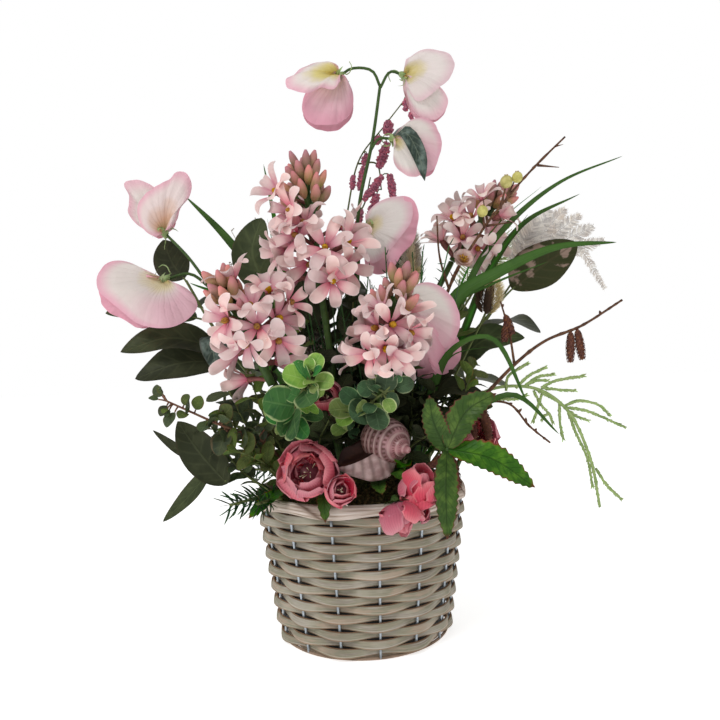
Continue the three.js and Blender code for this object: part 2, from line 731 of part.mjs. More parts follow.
function seaShell(grow) {
  const from = v(...SHELL.mouth);
  const axis = v(...SHELL.apex).sub(from);
  const length = axis.length();
  const along = axis.clone().normalize();
  const side = along.clone().cross(up).normalize();
  const other = along.clone().cross(side);
  const sectors = 12;
  const rows = [0.06, 0.16, 0.28, 0.42, 0.56, 0.66, 0.76, 0.85, 0.93];
  const body = rows.map((share) => Array.from({ length: sectors }, (_, i) => {
    const turn = (2 * Math.PI * i) / sectors;
    const belly = Math.sin(Math.PI * Math.min(1, 0.12 + share * 0.95)) ** 0.75;
    const whorl = ((share * 3.2 + turn / (2 * Math.PI)) % 1 + 1) % 1;
    const radius = SHELL.radius * belly * (0.9 + 0.14 * Math.sin(Math.PI * whorl)) + grow;
    const centre = plus(from, along, length * share);
    return plus(plus(centre, side, radius * Math.cos(turn)), other, radius * Math.sin(turn));
  }));
  const whole = loft(body, plus(from, along, -2 - grow), plus(from, along, length + 1.5 + grow));
  if (grow > 0) {
    return [whole];
  }
  const hollow = bud(...SHELL.hollow, SHELL.hollowRadius, { sides: 8, waist: [0.35, 0.75] });
  return [whole.subtract(hollow)];
}

// Sprigs of round leaves: a stalk, and leaves with place, facing and radius
const EUCALYPTUS = {
  variegated_left: {
    tone: 'eucalyptus',
    stalk: [[-46, -46, SHALLOW], [-49, -66, 170], [-48, -100, 200], [-36, -108, 224]],
    leaves: [
      [[-29, -112, 236], [0.1, -0.9, 0.5], 10],
      [[-44, -111, 226], [-0.4, -0.8, 0.5], 11],
      [[-24, -113, 222], [0.4, -0.9, 0.2], 10],
      [[-36, -116, 211], [0.1, -0.95, -0.1], 11],
      [[-57, -109, 207], [-0.5, -0.8, 0.2], 12],
      [[-46, -112, 192], [-0.1, -0.85, -0.4], 12],
      [[-60, -92, 196], [-0.6, -0.5, 0.5], 11],
      [[-34, -98, 196], [0.5, -0.6, 0.5], 10],
    ],
  },
  variegated_right: {
    tone: 'eucalyptus',
    stalk: [[0, -34, SHALLOW], [1, -52, 180], [6, -86, 200], [20, -101, 212]],
    leaves: [
      [[6, -101, 215], [-0.3, -0.9, 0.4], 9],
      [[22, -105, 221], [0.1, -0.9, 0.5], 9],
      [[35, -104, 217], [0.5, -0.8, 0.4], 9],
      [[-12, -92, 200], [-0.4, -0.8, 0.4], 10],
      [[2, -98, 198], [0, -0.95, 0.1], 10],
      [[14, -99, 193], [0.3, -0.9, -0.1], 9],
      [[24, -98, 205], [0.4, -0.9, 0.1], 9],
      [[-14, -84, 184], [-0.3, -0.8, 0.4], 9],
    ],
  },
  grey_left: {
    tone: 'grey',
    stalk: [[-54, -34, SHALLOW], [-70, -60, 168], [-112, -76, 192], [-150, -72, 210]],
    leaves: [
      [[-146, -78, 196], [-0.3, -0.8, 0.5], 9],
      [[-131, -80, 206], [0, -0.8, 0.6], 9],
      [[-118, -84, 190], [-0.2, -0.9, 0.2], 10],
      [[-102, -82, 199], [0.2, -0.8, 0.5], 10],
      [[-88, -82, 181], [0.1, -0.95, 0], 10],
      [[-106, -80, 176], [-0.3, -0.9, -0.2], 10],
      [[-70, -74, 190], [0.2, -0.8, 0.5], 9],
      [[-88, -66, 163], [-0.3, -0.8, -0.2], 10],
      [[-158, -68, 218], [-0.6, -0.6, 0.4], 8],
    ],
  },
  back: {
    tone: 'eucalyptus',
    stalk: [[-8, 46, SHALLOW], [-12, 62, 160], [-26, 98, 246]],
    leaves: [
      [[-28, 104, 258], [0, 0.8, 0.6], 11],
      [[-40, 98, 240], [-0.6, 0.7, 0.4], 12],
      [[-12, 100, 240], [0.6, 0.7, 0.4], 12],
      [[-36, 92, 218], [-0.6, 0.8, 0], 13],
      [[-6, 92, 216], [0.6, 0.8, 0.1], 13],
      [[-30, 82, 192], [-0.5, 0.8, -0.1], 13],
      [[-2, 78, 188], [0.6, 0.8, 0], 12],
    ],
  },
};

// The place on a run of stalk that lies nearest to a point
function nearestOn(places, point) {
  return places.slice(1)
    .map((place, i) => new THREE.Line3(v(...places[i]), v(...place)))
    .map((run) => run.closestPointToPoint(point, true, v(0, 0, 0)))
    .reduce((best, spot) => (spot.distanceTo(point) < best.distanceTo(point) ? spot : best));
}

// Each leaf grows from the nearest place on the stalk, through its own middle
function leafSprig({ stalk: places, leaves }, grow) {
  const pieces = [stalk(places, 1.8, 1, { grow })];
  leaves.forEach(([place, face, radius]) => {
    const middle = v(...place);
    const near = nearestOn(places, middle);
    const out = middle.clone().sub(near).normalize();
    const tip = plus(middle, out, radius);
    const path = [list(near), list(plus(middle, v(...face), 1)), list(tip)];
    pieces.push(blade(path, radius, v(...face), { outline: 'round', fold: 0.14, grow }));
  });
  return pieces;
}

// Branches of large leaves: stalks, then leaves with root, middle, tip, facing and half width
const LEAF_BRANCHES = {
  left: {
    stalks: [[[-42, 8, DEEP], [-58, 6, 160], [-86, 0, 212], [-124, -6, 268], [-150, 0, 314]]],
    leaves: [
      [[-148, 0, 312], [-162, 2, 330], [-170, 2, 352], [-0.2, -0.95, 0.3], 16],
      [[-130, -4, 276], [-180, -2, 290], [-222, -4, 287], [0, -0.8, 0.6], 15],
      [[-112, -6, 248], [-158, -30, 262], [-199, -34, 251], [0, -0.75, 0.66], 17],
      [[-106, -8, 240], [-150, -34, 240], [-186, -38, 228], [0.1, -0.75, 0.5], 17],
      [[-104, -8, 238], [-118, -40, 262], [-116, -50, 232], [-0.3, -0.9, 0.3], 13],
      [[-136, 2, 288], [-156, 32, 296], [-178, 52, 286], [-0.4, 0.3, 0.8], 15],
      [[-96, 0, 226], [-130, 30, 244], [-160, 52, 238], [-0.3, 0.4, 0.8], 15],
    ],
  },
  low_left: {
    stalks: [[[-58, -16, SHALLOW], [-66, -21, 144], [-92, -32, 160]]],
    leaves: [
      [[-88, -32, 158], [-120, -42, 178], [-150, -44, 182], [-0.2, -0.8, 0.6], 12],
      [[-88, -32, 157], [-126, -42, 148], [-168, -36, 110], [-0.3, -0.85, 0.4], 12],
      [[-84, -30, 154], [-116, -56, 150], [-138, -68, 128], [-0.4, -0.8, 0.3], 11],
      [[-80, -28, 152], [-120, -8, 158], [-150, 4, 142], [-0.3, 0.1, 0.9], 13],
    ],
  },
  right: {
    stalks: [[[48, 22, DEEP], [60, 24, 168], [92, 26, 234], [140, 30, 290]]],
    leaves: [
      [[137, 30, 287], [180, 28, 318], [206, 26, 338], [-0.3, -0.85, 0.45], 27],
      [[88, 24, 226], [120, 10, 252], [154, 4, 252], [0, -0.8, 0.6], 15],
      [[112, 28, 260], [150, 50, 272], [186, 66, 258], [0.2, 0.1, 0.95], 18],
      [[76, 25, 200], [116, 44, 214], [150, 60, 206], [0.2, 0.2, 0.95], 17],
    ],
  },
  centre: {
    stalks: [[[36, -37, SHALLOW], [39, -43, 164], [46, -48, 190]]],
    leaves: [
      [[45, -48, 188], [74, -56, 212], [108, -58, 202], [0, -0.5, 0.85], 13],
      [[45, -47, 186], [64, -66, 190], [84, -84, 182], [0.2, -0.6, 0.75], 12],
      [[42, -44, 176], [30, -66, 192], [16, -84, 178], [-0.2, -0.6, 0.7], 10],
    ],
  },
  back_left: {
    stalks: [[[-30, 34, DEEP], [-40, 44, 164], [-66, 66, 220], [-84, 74, 280]]],
    leaves: [
      [[-83, 73, 276], [-92, 66, 318], [-84, 50, 356], [-0.3, -0.4, 0.6], 19],
      [[-74, 70, 250], [-116, 84, 276], [-152, 88, 266], [-0.3, 0.4, 0.8], 18],
      [[-62, 64, 214], [-96, 96, 232], [-128, 112, 214], [-0.4, 0.6, 0.7], 17],
      [[-46, 50, 168], [-86, 76, 172], [-120, 92, 150], [-0.4, 0.5, 0.7], 17],
      [[-70, 68, 240], [-56, 100, 262], [-54, 120, 284], [0.2, 0.8, 0.3], 16],
    ],
  },
  back_right: {
    stalks: [[[26, 40, DEEP], [34, 52, 162], [52, 78, 220], [56, 88, 300]]],
    leaves: [
      [[56, 88, 296], [52, 84, 336], [40, 70, 372], [0.2, 0.8, 0.2], 19],
      [[55, 86, 270], [92, 104, 288], [124, 108, 282], [0.3, 0.6, 0.7], 18],
      [[50, 76, 214], [88, 104, 232], [116, 118, 214], [0.3, 0.6, 0.7], 17],
      [[38, 58, 172], [76, 88, 178], [104, 104, 154], [0.4, 0.6, 0.7], 17],
      [[54, 84, 252], [26, 106, 276], [10, 118, 296], [-0.3, 0.9, 0.3], 16],
    ],
  },
};

const leafBranch = ({ stalks, leaves }, grow) => [
  ...stalks.map((places) => stalk(places, 2.4, 1.5, { grow })),
  ...leaves.map(([root, middle, tip, face, half]) => (
    blade([list(nearestOn(stalks[0], v(...root))), middle, tip], half, v(...face), { fold: 0.16, grow }))),
];

// Grass clumps: each blade is a list of places and a half width, and the later blades leave the first one
const GRASS = {
  left: [
    [[[-30, 14, SHALLOW], [-58, 22, 220], [-84, 10, 308], [-112, 2, 350], [-150, 8, 392]], 5],
    [[[-42, 17.5, 158], [-54, 32, 250], [-72, 32, 370], [-80, 24, 424]], 3],
    [[[-50, 20, 189], [-86, 46, 240], [-124, 66, 300], [-166, 76, 322]], 4],
  ],
  right: [
    [
      [[48, 0, SHALLOW], [62, -14, 210], [88, -28, 286], [118, -32, 304], [170, -38, 325], [222, -42, 328]],
      6,
    ],
    [[[53, -6.5, 156], [80, 6, 240], [114, 2, 320], [150, 10, 362], [195, 15, 395], [256, 20, 419]], 3],
    [[[57, -10, 181], [92, -2, 246], [124, 10, 312], [160, 18, 358], [216, 24, 386]], 3.5],
  ],
  front: [
    [[[47, -30, SHALLOW], [57, -46, 172], [84, -84, 246], [110, -92, 244], [128, -96, 200]], 3.5],
    [[[55, -41, 155], [76, -64, 178], [118, -92, 206], [150, -100, 176]], 3],
  ],
};

const grassClump = (blades, grow) => blades.map(([places, half]) => (
  blade(places, half, v(0.1, -0.75, 0.65), { outline: 'ribbon', fold: 0, thickness: 2, grow })));

// Sprigs of serrated leaves: a stalk, and leaves with root, middle, tip, facing and half width
const SERRATED = {
  right: {
    stalk: [[58, -44, SHALLOW], [61, -60, 142], [67, -94, 168]],
    leaves: [
      [[66, -94, 167], [82, -98, 196], [104, -98, 208], [-0.2, -0.95, 0.3], 12],
      [[66, -94, 166], [98, -104, 160], [129, -104, 138], [0.1, -0.8, 0.6], 13],
      [[66, -93, 164], [62, -112, 140], [61, -118, 106], [0.2, -0.95, 0.2], 10],
      [[65, -90, 166], [56, -98, 190], [54, -98, 208], [0, -0.95, 0.3], 10],
    ],
  },
  back: {
    stalk: [[6, 60, SHALLOW], [9, 70, 144], [20, 104, 168]],
    leaves: [
      [[19, 103, 166], [36, 118, 172], [52, 122, 154], [0.3, 0.8, 0.5], 12],
      [[19, 103, 165], [12, 120, 150], [10, 126, 122], [0, 0.95, 0.3], 12],
      [[18, 102, 166], [2, 112, 186], [-6, 108, 206], [-0.2, 0.9, 0.3], 11],
    ],
  },
};

const serratedSprig = ({ stalk: places, leaves }, grow) => [
  stalk(places, 1.8, 1.3, { grow }),
  ...leaves.map(([root, middle, tip, face, half]) => {
    const path = [list(nearestOn(places, v(...root))), middle, tip];
    return cutLeaf(path, half, v(...face), { teeth: 4, depth: 0.26, grow });
  }),
];

// Brown twig with catkins
const HAZEL = {
  runs: [
    {
      path: [
        [42, -14, DEEP], [56, -20, 148], [94, -38, 190], [138, -32, 231],
        [164, -26, 248], [198, -18, 260], [238, -10, 282],
      ],
      radii: [2.2, 0.9],
    },
    { path: [[135, -32, 228], [132, -30, 256], [126, -28, 283]], radii: [1.1, 0.7] },
    { path: [[104, -37, 199], [126, -48, 196], [140, -54, 178], [156, -56, 164]], radii: [1.1, 0.7] },
  ],
  catkins: [
    [[188, -20, 256], [186, -22, 228], 3.6], [[194, -19, 258], [197, -21, 230], 3.6],
    [[131, -30, 268], [127, -32, 248], 3], [[129, -29, 272], [134, -33, 254], 3],
    [[97, -38, 194], [92, -60, 166], 4.4], [[103, -37, 200], [106, -62, 168], 4.4],
  ],
};

const hazelTwig = (grow) => [
  ...HAZEL.runs.map(({ path, radii }) => stalk(path, radii[0], radii[1], { grow })),
  ...HAZEL.catkins.map(([from, to, radius]) => bud(from, to, radius, { grow, waist: [0.25, 0.6] })),
];

// Thorny twig with spurs and yellow berries
const THORNY = {
  runs: [
    {
      path: [
        [36, 4, DEEP], [48, -3, 180], [66, -12, 250], [91, -16, 312], [107, -18, 336],
        [120, -20, 354], [146, -26, 384], [164, -28, 402], [186, -30, 422],
      ],
      radii: [2.2, 0.8],
    },
    { path: [[84, -15, 296], [77, -13, 326], [76, -12, 362]], radii: [1.1, 0.6] },
  ],
  spurs: [
    [[119, -20, 353], [115, -23, 374], 1.3],
    [[118, -20, 350], [142, -24, 352], 1.3],
    [[162, -28, 399], [180, -30, 396], 1.2],
    [[90, -16, 310], [95, -26, 319], 1.8],
    [[130, -22, 364], [136, -27, 388], 1.4],
    [[134, -23, 369], [144, -29, 391], 1.4],
    [[116, -20, 348], [114, -25, 365], 1.3],
  ],
  berries: [[[135, -27, 386], 5.4], [[144, -29, 389], 4.6], [[114, -24, 362], 4.8]],
  flower: { center: [95, -27, 320], face: [0.1, -0.9, 0.4] },
};

const thornyTwig = (grow) => [
  ...THORNY.runs.map(({ path, radii }) => stalk(path, radii[0], radii[1], { grow })),
  ...THORNY.spurs.map(([from, to, radius]) => spike(from, to, radius, grow)),
  ...THORNY.berries.map(([place, radius]) => {
    const ball = new THREE.OctahedronGeometry(radius + grow, 0);
    return fromGeometry(ball.translate(...place));
  }),
  dish(v(...THORNY.flower.center), v(...THORNY.flower.face), lobes(5, 9, 5, 3, 0.16), { root: 4, grow }),
];

// Bunny tails: an oval head with points all round, on a thin stalk
const BUNNY_TAILS = [
  {
    stalk: [[58, 10, SHALLOW], [72, 6, 180], [118, -4, 276]],
    head: [[118, -4, 274], [124, -5, 304]],
    radius: 8,
    seed: 5,
  },
  {
    stalk: [[17, 2, SHALLOW], [30, 4, 200], [52, 3, 296]],
    head: [[52, 3, 294], [54, 3, 352]],
    radius: 8,
    seed: 9,
  },
];

function bunnyTail({ stalk: places, head, radius, seed }, grow) {
  const draw = draws(seed);
  const from = v(...head[0]);
  const axis = v(...head[1]).sub(from);
  const pieces = [
    stalk(places, 1.2, 1, { grow }),
    bud(head[0], head[1], radius * 0.8, { sides: 5, grow, waist: [0.2, 0.6] }),
  ];
  const points = 10;
  for (let i = 0; i < points; i += 1) {
    const { share, direction } = around(axis, i, points, 0.12, 0.85, draw(0.3, 0.7));
    const root = from.clone().addScaledVector(axis, share);
    pieces.push(spike(list(root), list(plus(root, direction, radius * draw(1.4, 1.8))), 2, grow));
  }
  return pieces;
}

// Feathery plumes: a stalk and arched vanes with leaflets cut to the rib
const PLUMES = {
  green: {
    tone: 'pale',
    stalk: [[30, 26, SHALLOW], [50, 46, 190], [134, 84, 320]],
    vanes: [
      [[134, 84, 318], [150, 86, 356], [146, 84, 396], 16],
      [[124, 79.5, 304], [152, 90, 338], [176, 92, 362], 14],
      [[114, 75, 290], [120, 92, 344], [112, 94, 380], 13],
    ],
  },
  white: {
    tone: 'white',
    stalk: [[41, 28, SHALLOW], [60, 44, 170], [172, 72, 326]],
    vanes: [
      [[168, 72, 322], [206, 74, 352], [250, 72, 370], 15],
      [[158, 68.5, 306], [200, 72, 318], [236, 64, 296], 11],
    ],
  },
};

const plume = ({ stalk: places, vanes }, grow) => [
  stalk(places, 1.8, 1.2, { grow }),
  ...vanes.map(([root, middle, tip, half]) => {
    const cut = { teeth: 5, depth: 0.82, lean: 1.1, fold: 0.1, grow };
    return cutLeaf([root, middle, tip], half, v(0, -0.95, 0.3), cut);
  }),
];

// Light green spray that drapes over the right side
const DRAPE = {
  main: [
    [66, -8, SHALLOW], [74, -12, 152], [108, -20, 204], [150, -34, 208],
    [174, -44, 190], [190, -50, 150], [196, -52, 110],
  ],
  twiglets: [
    [[112, -21, 204], [132, -30, 226]],
    [[134, -28, 206], [160, -38, 228]],
    [[150, -34, 207], [184, -44, 222]],
    [[164, -40, 198], [206, -48, 192]],
    [[170, -43, 193], [152, -42, 168]],
    [[180, -46, 176], [222, -52, 178]],
    [[185, -48, 163], [168, -50, 138]],
    [[190, -50, 150], [218, -54, 128]],
    [[193, -51, 130], [180, -52, 102]],
  ],
};

const drapingSpray = (grow) => [
  stalk(DRAPE.main, 1.7, 1, { grow }),
  ...DRAPE.twiglets.map(([from, to]) => {
    const middle = v(...from).lerp(v(...to), 0.5).add(v(0, 0, 4));
    const cut = { teeth: 2, depth: 0.7, lean: 1.1, fold: 0.1, grow };
    return cutLeaf([from, list(middle), to], 3.8, v(0.1, -0.9, 0.3), cut);
  }),
];

// Sprigs of needles round slim stalks
const NEEDLES = {
  low_left: {
    stalks: [[[-58, -48, SHALLOW], [-66, -64, 130], [-98, -98, 132]], [[-66, -62, 129], [-76, -108, 134]]],
    count: 10,
    length: 17,
    seed: 61,
  },
  low_back: {
    stalks: [[[-56, 36, SHALLOW], [-70, 50, 132], [-106, 76, 130]]],
    count: 8,
    length: 18,
    seed: 67,
  },
};

function needleSprig({ stalks, count, length, seed }, grow) {
  const draw = draws(seed);
  const pieces = stalks.map((places) => stalk(places, 1.8, 1.3, { grow }));
  const share = Math.ceil(count / stalks.length);
  stalks.forEach((places) => {
    const from = v(...places[places.length - 2]);
    const to = v(...places[places.length - 1]);
    for (let i = 0; i < share; i += 1) {
      const { direction } = around(to.clone().sub(from), i, share, 0, 1, draw(0.5, 0.8));
      const root = from.clone().lerp(to, (i + 0.8) / share);
      pieces.push(spike(list(root), list(plus(root, direction, length * draw(0.85, 1.1))), 1.2, grow));
    }
  });
  return pieces;
}

// Magenta strings of small beads on thin stalks
const AMARANTH = {
  stalk: [[-4, 22, SHALLOW], [-7, 26, 300], [-5, 26, 372]],
  strings: [
    [[-5, 26, 368], [10, 26, 426], [34, 26, 456], [54, 26, 480]],
    [[-6, 26, 362], [12, 28, 382], [20, 30, 410]],
    [[9, 26, 422], [26, 28, 422], [30, 30, 398]],
  ],
  spacing: 15,
  bead: 4,
  neck: 1.2,
};

// A string that swells and narrows into one bead after another
function beadString(places, bead, neck, spacing, grow) {
  const curve = curveOf(places);
  const count = Math.round(curve.getLength() / spacing) * 2;
  const rings = [];
  for (let k = 0; k <= count; k += 1) {
    const { place, along, side } = frameAt(curve, k / count, v(...ASKEW));
    const other = along.clone().cross(side);
    const radius = (k % 2 ? bead : neck) + grow;
    rings.push([0, 1, 2, 3].map((i) => place.clone()
      .addScaledVector(side, radius * Math.cos(Math.PI * i * 0.5))
      .addScaledVector(other, radius * Math.sin(Math.PI * i * 0.5))));
  }
  return loft(rings, curve.getPointAt(0), plus(curve.getPointAt(1), curve.getTangentAt(1), neck + grow));
}

function amaranth(grow) {
  const { strings, bead, neck, spacing } = AMARANTH;
  return [
    stalk(AMARANTH.stalk, 1.6, 1.3, { grow }),
    ...strings.map((places) => beadString(places, bead, neck, spacing, grow)),
  ];
}

// Grey statice: a knobbly cluster on a stalk
const STATICE = {
  stalk: [[-14, -4, SHALLOW], [-22, 0, 172], [-34, 4, 226]],
  foot: [-34, 4, 222],
  top: [-38, 6, 292],
  radius: 15,
  knobs: 8,
  seed: 71,
};

function staticeCluster(grow) {
  const draw = draws(STATICE.seed);
  const from = v(...STATICE.foot);
  const axis = v(...STATICE.top).sub(from);
  const pieces = [
    stalk(STATICE.stalk, 1.6, 1.4, { grow }),
    bud(STATICE.foot, STATICE.top, 9, { sides: 5, grow, waist: [0.25, 0.75] }),
  ];
  for (let i = 0; i < STATICE.knobs; i += 1) {
    const { share, out } = around(axis, i, STATICE.knobs, 0.12, 0.92, 0);
    const place = plus(from.clone().addScaledVector(axis, share), out, STATICE.radius * draw(0.45, 0.62));
    const knob = new THREE.OctahedronGeometry(draw(6.5, 8) + grow, 0);
    pieces.push(fromGeometry(knob.rotateZ(i).translate(place.x, place.y, place.z)));
  }
  return pieces;
}

// Every piece in the order in which the later ones are kept clear of the earlier ones
const pieces = [
  ['base_board', 'board', baseBoard],
  ['wire_frame', 'wire', wireFrame],
  ['willow_weave', 'willow', willowWeave],
  ['rim_border', 'rim', rimBorder],
  ['liner', 'liner', liner],
  ...STAR_HEADS.map((head, k) => [`star_stem_${k + 1}`, 'stem', (grow) => starStem(head, grow)]),
  ['sweet_pea_stem_top', 'stem', (grow) => [...peaStem(PEA_STEMS.top, [0, 1, 2], grow), peaLeaf(grow)]],
  ['sweet_pea_stem_left', 'stem', (grow) => peaStem(PEA_STEMS.left, [3, 4], grow)],
  ['sweet_pea_stem_middle', 'stem', (grow) => peaStem(PEA_STEMS.middle, [5], grow)],
  ['sweet_pea_stem_right', 'stem', (grow) => peaStem(PEA_STEMS.right, [6], grow)],
  ['thorny_twig', 'twig', thornyTwig],
  ['hazel_twig', 'twig', hazelTwig],
  ...SWEET_PEAS.map((bloom, k) => [`sweet_pea_${k + 1}`, 'pea', (grow) => sweetPea(bloom, grow)]),
  ...STAR_HEADS.map((head, k) => [`star_head_${k + 1}`, 'blush', (grow) => starHead(head, grow)]),
  ['sea_shell', 'shell', seaShell],
  ...RANUNCULUS.map((bloom, k) => [`ranunculus_${k + 1}`, 'coral', (grow) => ranunculus(bloom, grow)]),
  ...Object.entries(EUCALYPTUS).map(([place, sprig]) => (
    [`eucalyptus_${place}`, sprig.tone, (grow) => leafSprig(sprig, grow)])),
  ...Object.entries(SERRATED).map(([place, sprig]) => (
    [`serrated_sprig_${place}`, 'leaf', (grow) => serratedSprig(sprig, grow)])),
  ...Object.entries(GRASS).map(([place, blades]) => (
    [`grass_${place}`, 'grass', (grow) => grassClump(blades, grow)])),
  ...BUNNY_TAILS.map((tail, k) => [`bunny_tail_${k + 1}`, 'cream', (grow) => bunnyTail(tail, grow)]),
  ['amaranth_spray', 'magenta', amaranth],
  ['statice_cluster', 'statice', staticeCluster],
  ['draping_spray', 'pale', drapingSpray],
  ...Object.entries(PLUMES).map(([place, spray]) => (
    [`plume_${place}`, spray.tone, (grow) => plume(spray, grow)])),
  ...Object.entries(NEEDLES).map(([place, sprig]) => (
    [`needle_sprig_${place}`, 'dark', (grow) => needleSprig(sprig, grow)])),
  ...Object.entries(LEAF_BRANCHES).map(([place, branch]) => (
    [`leaf_branch_${place}`, 'dark', (grow) => leafBranch(branch, grow)])),
  ['foam_block', 'foam', foamBlock],
  ['moss_mound', 'moss', mossMound],
];

const basketPieces = ['base_board', 'wire_frame', 'willow_weave', 'rim_border', 'liner'];

const boxesMeet = (a, b) => [0, 1, 2].every((i) => a.min[i] < b.max[i] && b.min[i] < a.max[i]);
const joined = (parts) => (parts.length === 1 ? parts[0] : wasm.Manifold.union(parts));
const larger = (a, b) => (b.volume() > a.volume() ? b : a);
const largest = (body) => body.decompose().reduce(larger);

// Each piece is cut clear of the ones before it, and scraps that come loose are dropped
const group = new THREE.Group();
const halos = [];
for (const [name, tone, make] of pieces) {
  let body = joined(make(0));
  if (!basketPieces.includes(name)) {
    const near = halos.filter((halo) => boxesMeet(halo.boundingBox(), body.boundingBox()));
    if (near.length > 0) {
      body = body.subtract(joined(near));
    }
  }
  body = largest(body.simplify(SCRAP));
  if (name !== 'foam_block' && name !== 'moss_mound') {
    halos.push(joined(make(GAP)));
  }
  const { vertProperties, triVerts } = body.getMesh();
  const geometry = new THREE.BufferGeometry();
  geometry.setAttribute('position', new THREE.BufferAttribute(vertProperties, 3));
  geometry.setIndex(new THREE.BufferAttribute(triVerts, 1));
  const finish = new THREE.MeshStandardMaterial({
    color: colour[tone],
    roughness: tone === 'wire' ? 0.4 : 0.75,
    metalness: tone === 'wire' ? 0.9 : 0,
  });
  const mesh = new THREE.Mesh(geometry, finish);
  mesh.name = name;
  group.add(mesh);
}

export default group;
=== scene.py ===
import math

import bpy
import numpy as np
from mathutils import Matrix, Vector


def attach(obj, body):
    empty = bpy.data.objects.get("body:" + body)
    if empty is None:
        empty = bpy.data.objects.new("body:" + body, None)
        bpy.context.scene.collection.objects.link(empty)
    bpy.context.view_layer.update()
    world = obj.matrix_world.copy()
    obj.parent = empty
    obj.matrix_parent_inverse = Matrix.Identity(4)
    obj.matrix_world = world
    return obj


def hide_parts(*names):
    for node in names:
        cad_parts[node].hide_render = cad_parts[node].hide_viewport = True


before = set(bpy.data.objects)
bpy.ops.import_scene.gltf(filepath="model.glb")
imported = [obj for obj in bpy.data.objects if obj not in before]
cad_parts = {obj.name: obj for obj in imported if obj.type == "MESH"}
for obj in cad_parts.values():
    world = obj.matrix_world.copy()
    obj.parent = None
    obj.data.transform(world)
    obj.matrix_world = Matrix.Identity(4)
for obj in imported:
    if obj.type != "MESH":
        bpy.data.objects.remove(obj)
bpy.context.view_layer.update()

MM = 0.001

# Basket
WIRES = 15
WIRE_PHASE = math.radians(8.65)
WIRE_RADIUS = 1.2
WIRE_FOOT = 0.45
WIRE_TOP = 116.8
FOOT_RADIUS = 73.2
RIM_RADIUS = 90
RIM_HEIGHT = 121
WEAVE_TURNS = 16
WEAVE_BOTTOM = 3.4
WEAVE_PITCH = 7.09
STRIP_HEIGHT = 6.65
STRIP_THICKNESS = 1.5
STRIP_SWING = 2.45
STRIP_BELLY = 0.45
STEPS_PER_WIRE = 10
RIM_LOW = 117.4
RIM_CREST = 126.4
RIM_STEPS = 300
FOAM_LEVEL = 100.35
MOSS_RADIUS = 80.5
MOSS_EDGE = 121
MOSS_RISE = 42
MOSS_STRANDS = 1500

# Section of the rim: distance out from its circle, and share of its height
RIM_SECTION = (
    (2.9, 0.0), (3.25, 0.12), (3.35, 0.4), (3.1, 0.62), (2.2, 0.86), (0.8, 0.98), (-0.8, 1.0), (-2.2, 0.84),
    (-2.9, 0.5), (-2.7, 0.2), (-1.6, 0.3), (-1.3, 0.6), (-0.4, 0.84), (0.9, 0.84), (1.7, 0.6), (2.1, 0.3),
    (2.2, 0.05),
)

# Depth of the stems' feet: in the foam, or in the moss alone
DEEP = 78
SHALLOW = 106
GOLDEN_ANGLE = 2.39996
UP = (0.0, 0.0, 1.0)
# A way that no stem or petal follows, from which frames round an axis are turned
AWAY = (0.31, 0.87, 0.38)

# Camera and photo: sizes in pixels, and millimetres for each pixel at the basket's axis
PHOTO = 720
PHOTO_MIDDLE = (360, 360)
PHOTO_SCALE = 0.9
LENS_PIXELS = 649.62
SENSOR = 36
CAMERA_PLACE = (0.0, -585.13, 235.25)
CAMERA_PITCH = math.radians(0.19)
CAMERA_YAW = math.radians(0.36)
CAMERA_ROLL = math.radians(-2.06)

# Studio light: name, place and disk size in metres, power in watts
WORLD_LIGHT = 0.4
BACKDROP_LIGHT = 1.0
LIGHTS = (
    ("key", (-0.9, -1.2, 1.5), 0.8, 14),
    ("fill", (1.2, -1.0, 0.9), 1.4, 1.2),
    ("back", (0.2, 1.4, 1.4), 1.4, 3),
)
LIGHT_AIM = (0.0, 0.0, 0.25)
FLOOR_SIZE = 12
FLOOR_GLOW = 0.7

# Heads of star florets: stem, foot and top of the head's axis, its reach, a floret's size, how many buds it
# has and how long their stalks are, its petals and the seed of its draws
STAR_HEADS = (
    {"stem": ((-16, -30, DEEP), (-17, -36, 190), (-22, -44, 250), (-27, -48, 296)),
     "foot": (-27, -48, 300), "top": (-39, -42, 405), "reach": 29, "floret": 20,
     "buds": 26, "bud_stalk": 1.0, "petal": "star_petal", "seed": 11},
    {"stem": ((-32, -40, DEEP), (-40, -50, 166), (-54, -68, 196), (-65, -82, 218)),
     "foot": (-66, -84, 222), "top": (-102, -96, 306), "reach": 24, "floret": 18,
     "buds": 17, "bud_stalk": 0.7, "petal": "star_petal", "seed": 23},
    {"stem": ((18, -30, DEEP), (18, -36, 168), (18, -60, 198), (18, -89, 224.4)),
     "foot": (18, -90, 226), "top": (38, -90, 300), "reach": 22, "floret": 17,
     "buds": 15, "bud_stalk": 0.7, "petal": "star_petal", "seed": 37},
    {"stem": ((28, 12, DEEP), (45, 18, 190), (72, 26, 285), (94, 31.5, 327)),
     "foot": (96, 32, 330), "top": (150, 32, 396), "reach": 24, "floret": 18,
     "buds": 15, "bud_stalk": 0.7, "petal": "star_petal_pale", "seed": 41},
)
# Share of each head's axis above which it is all buds
BUD_FROM = 0.6
FLORET_PETALS = 6
HIDDEN_FLORETS = 7

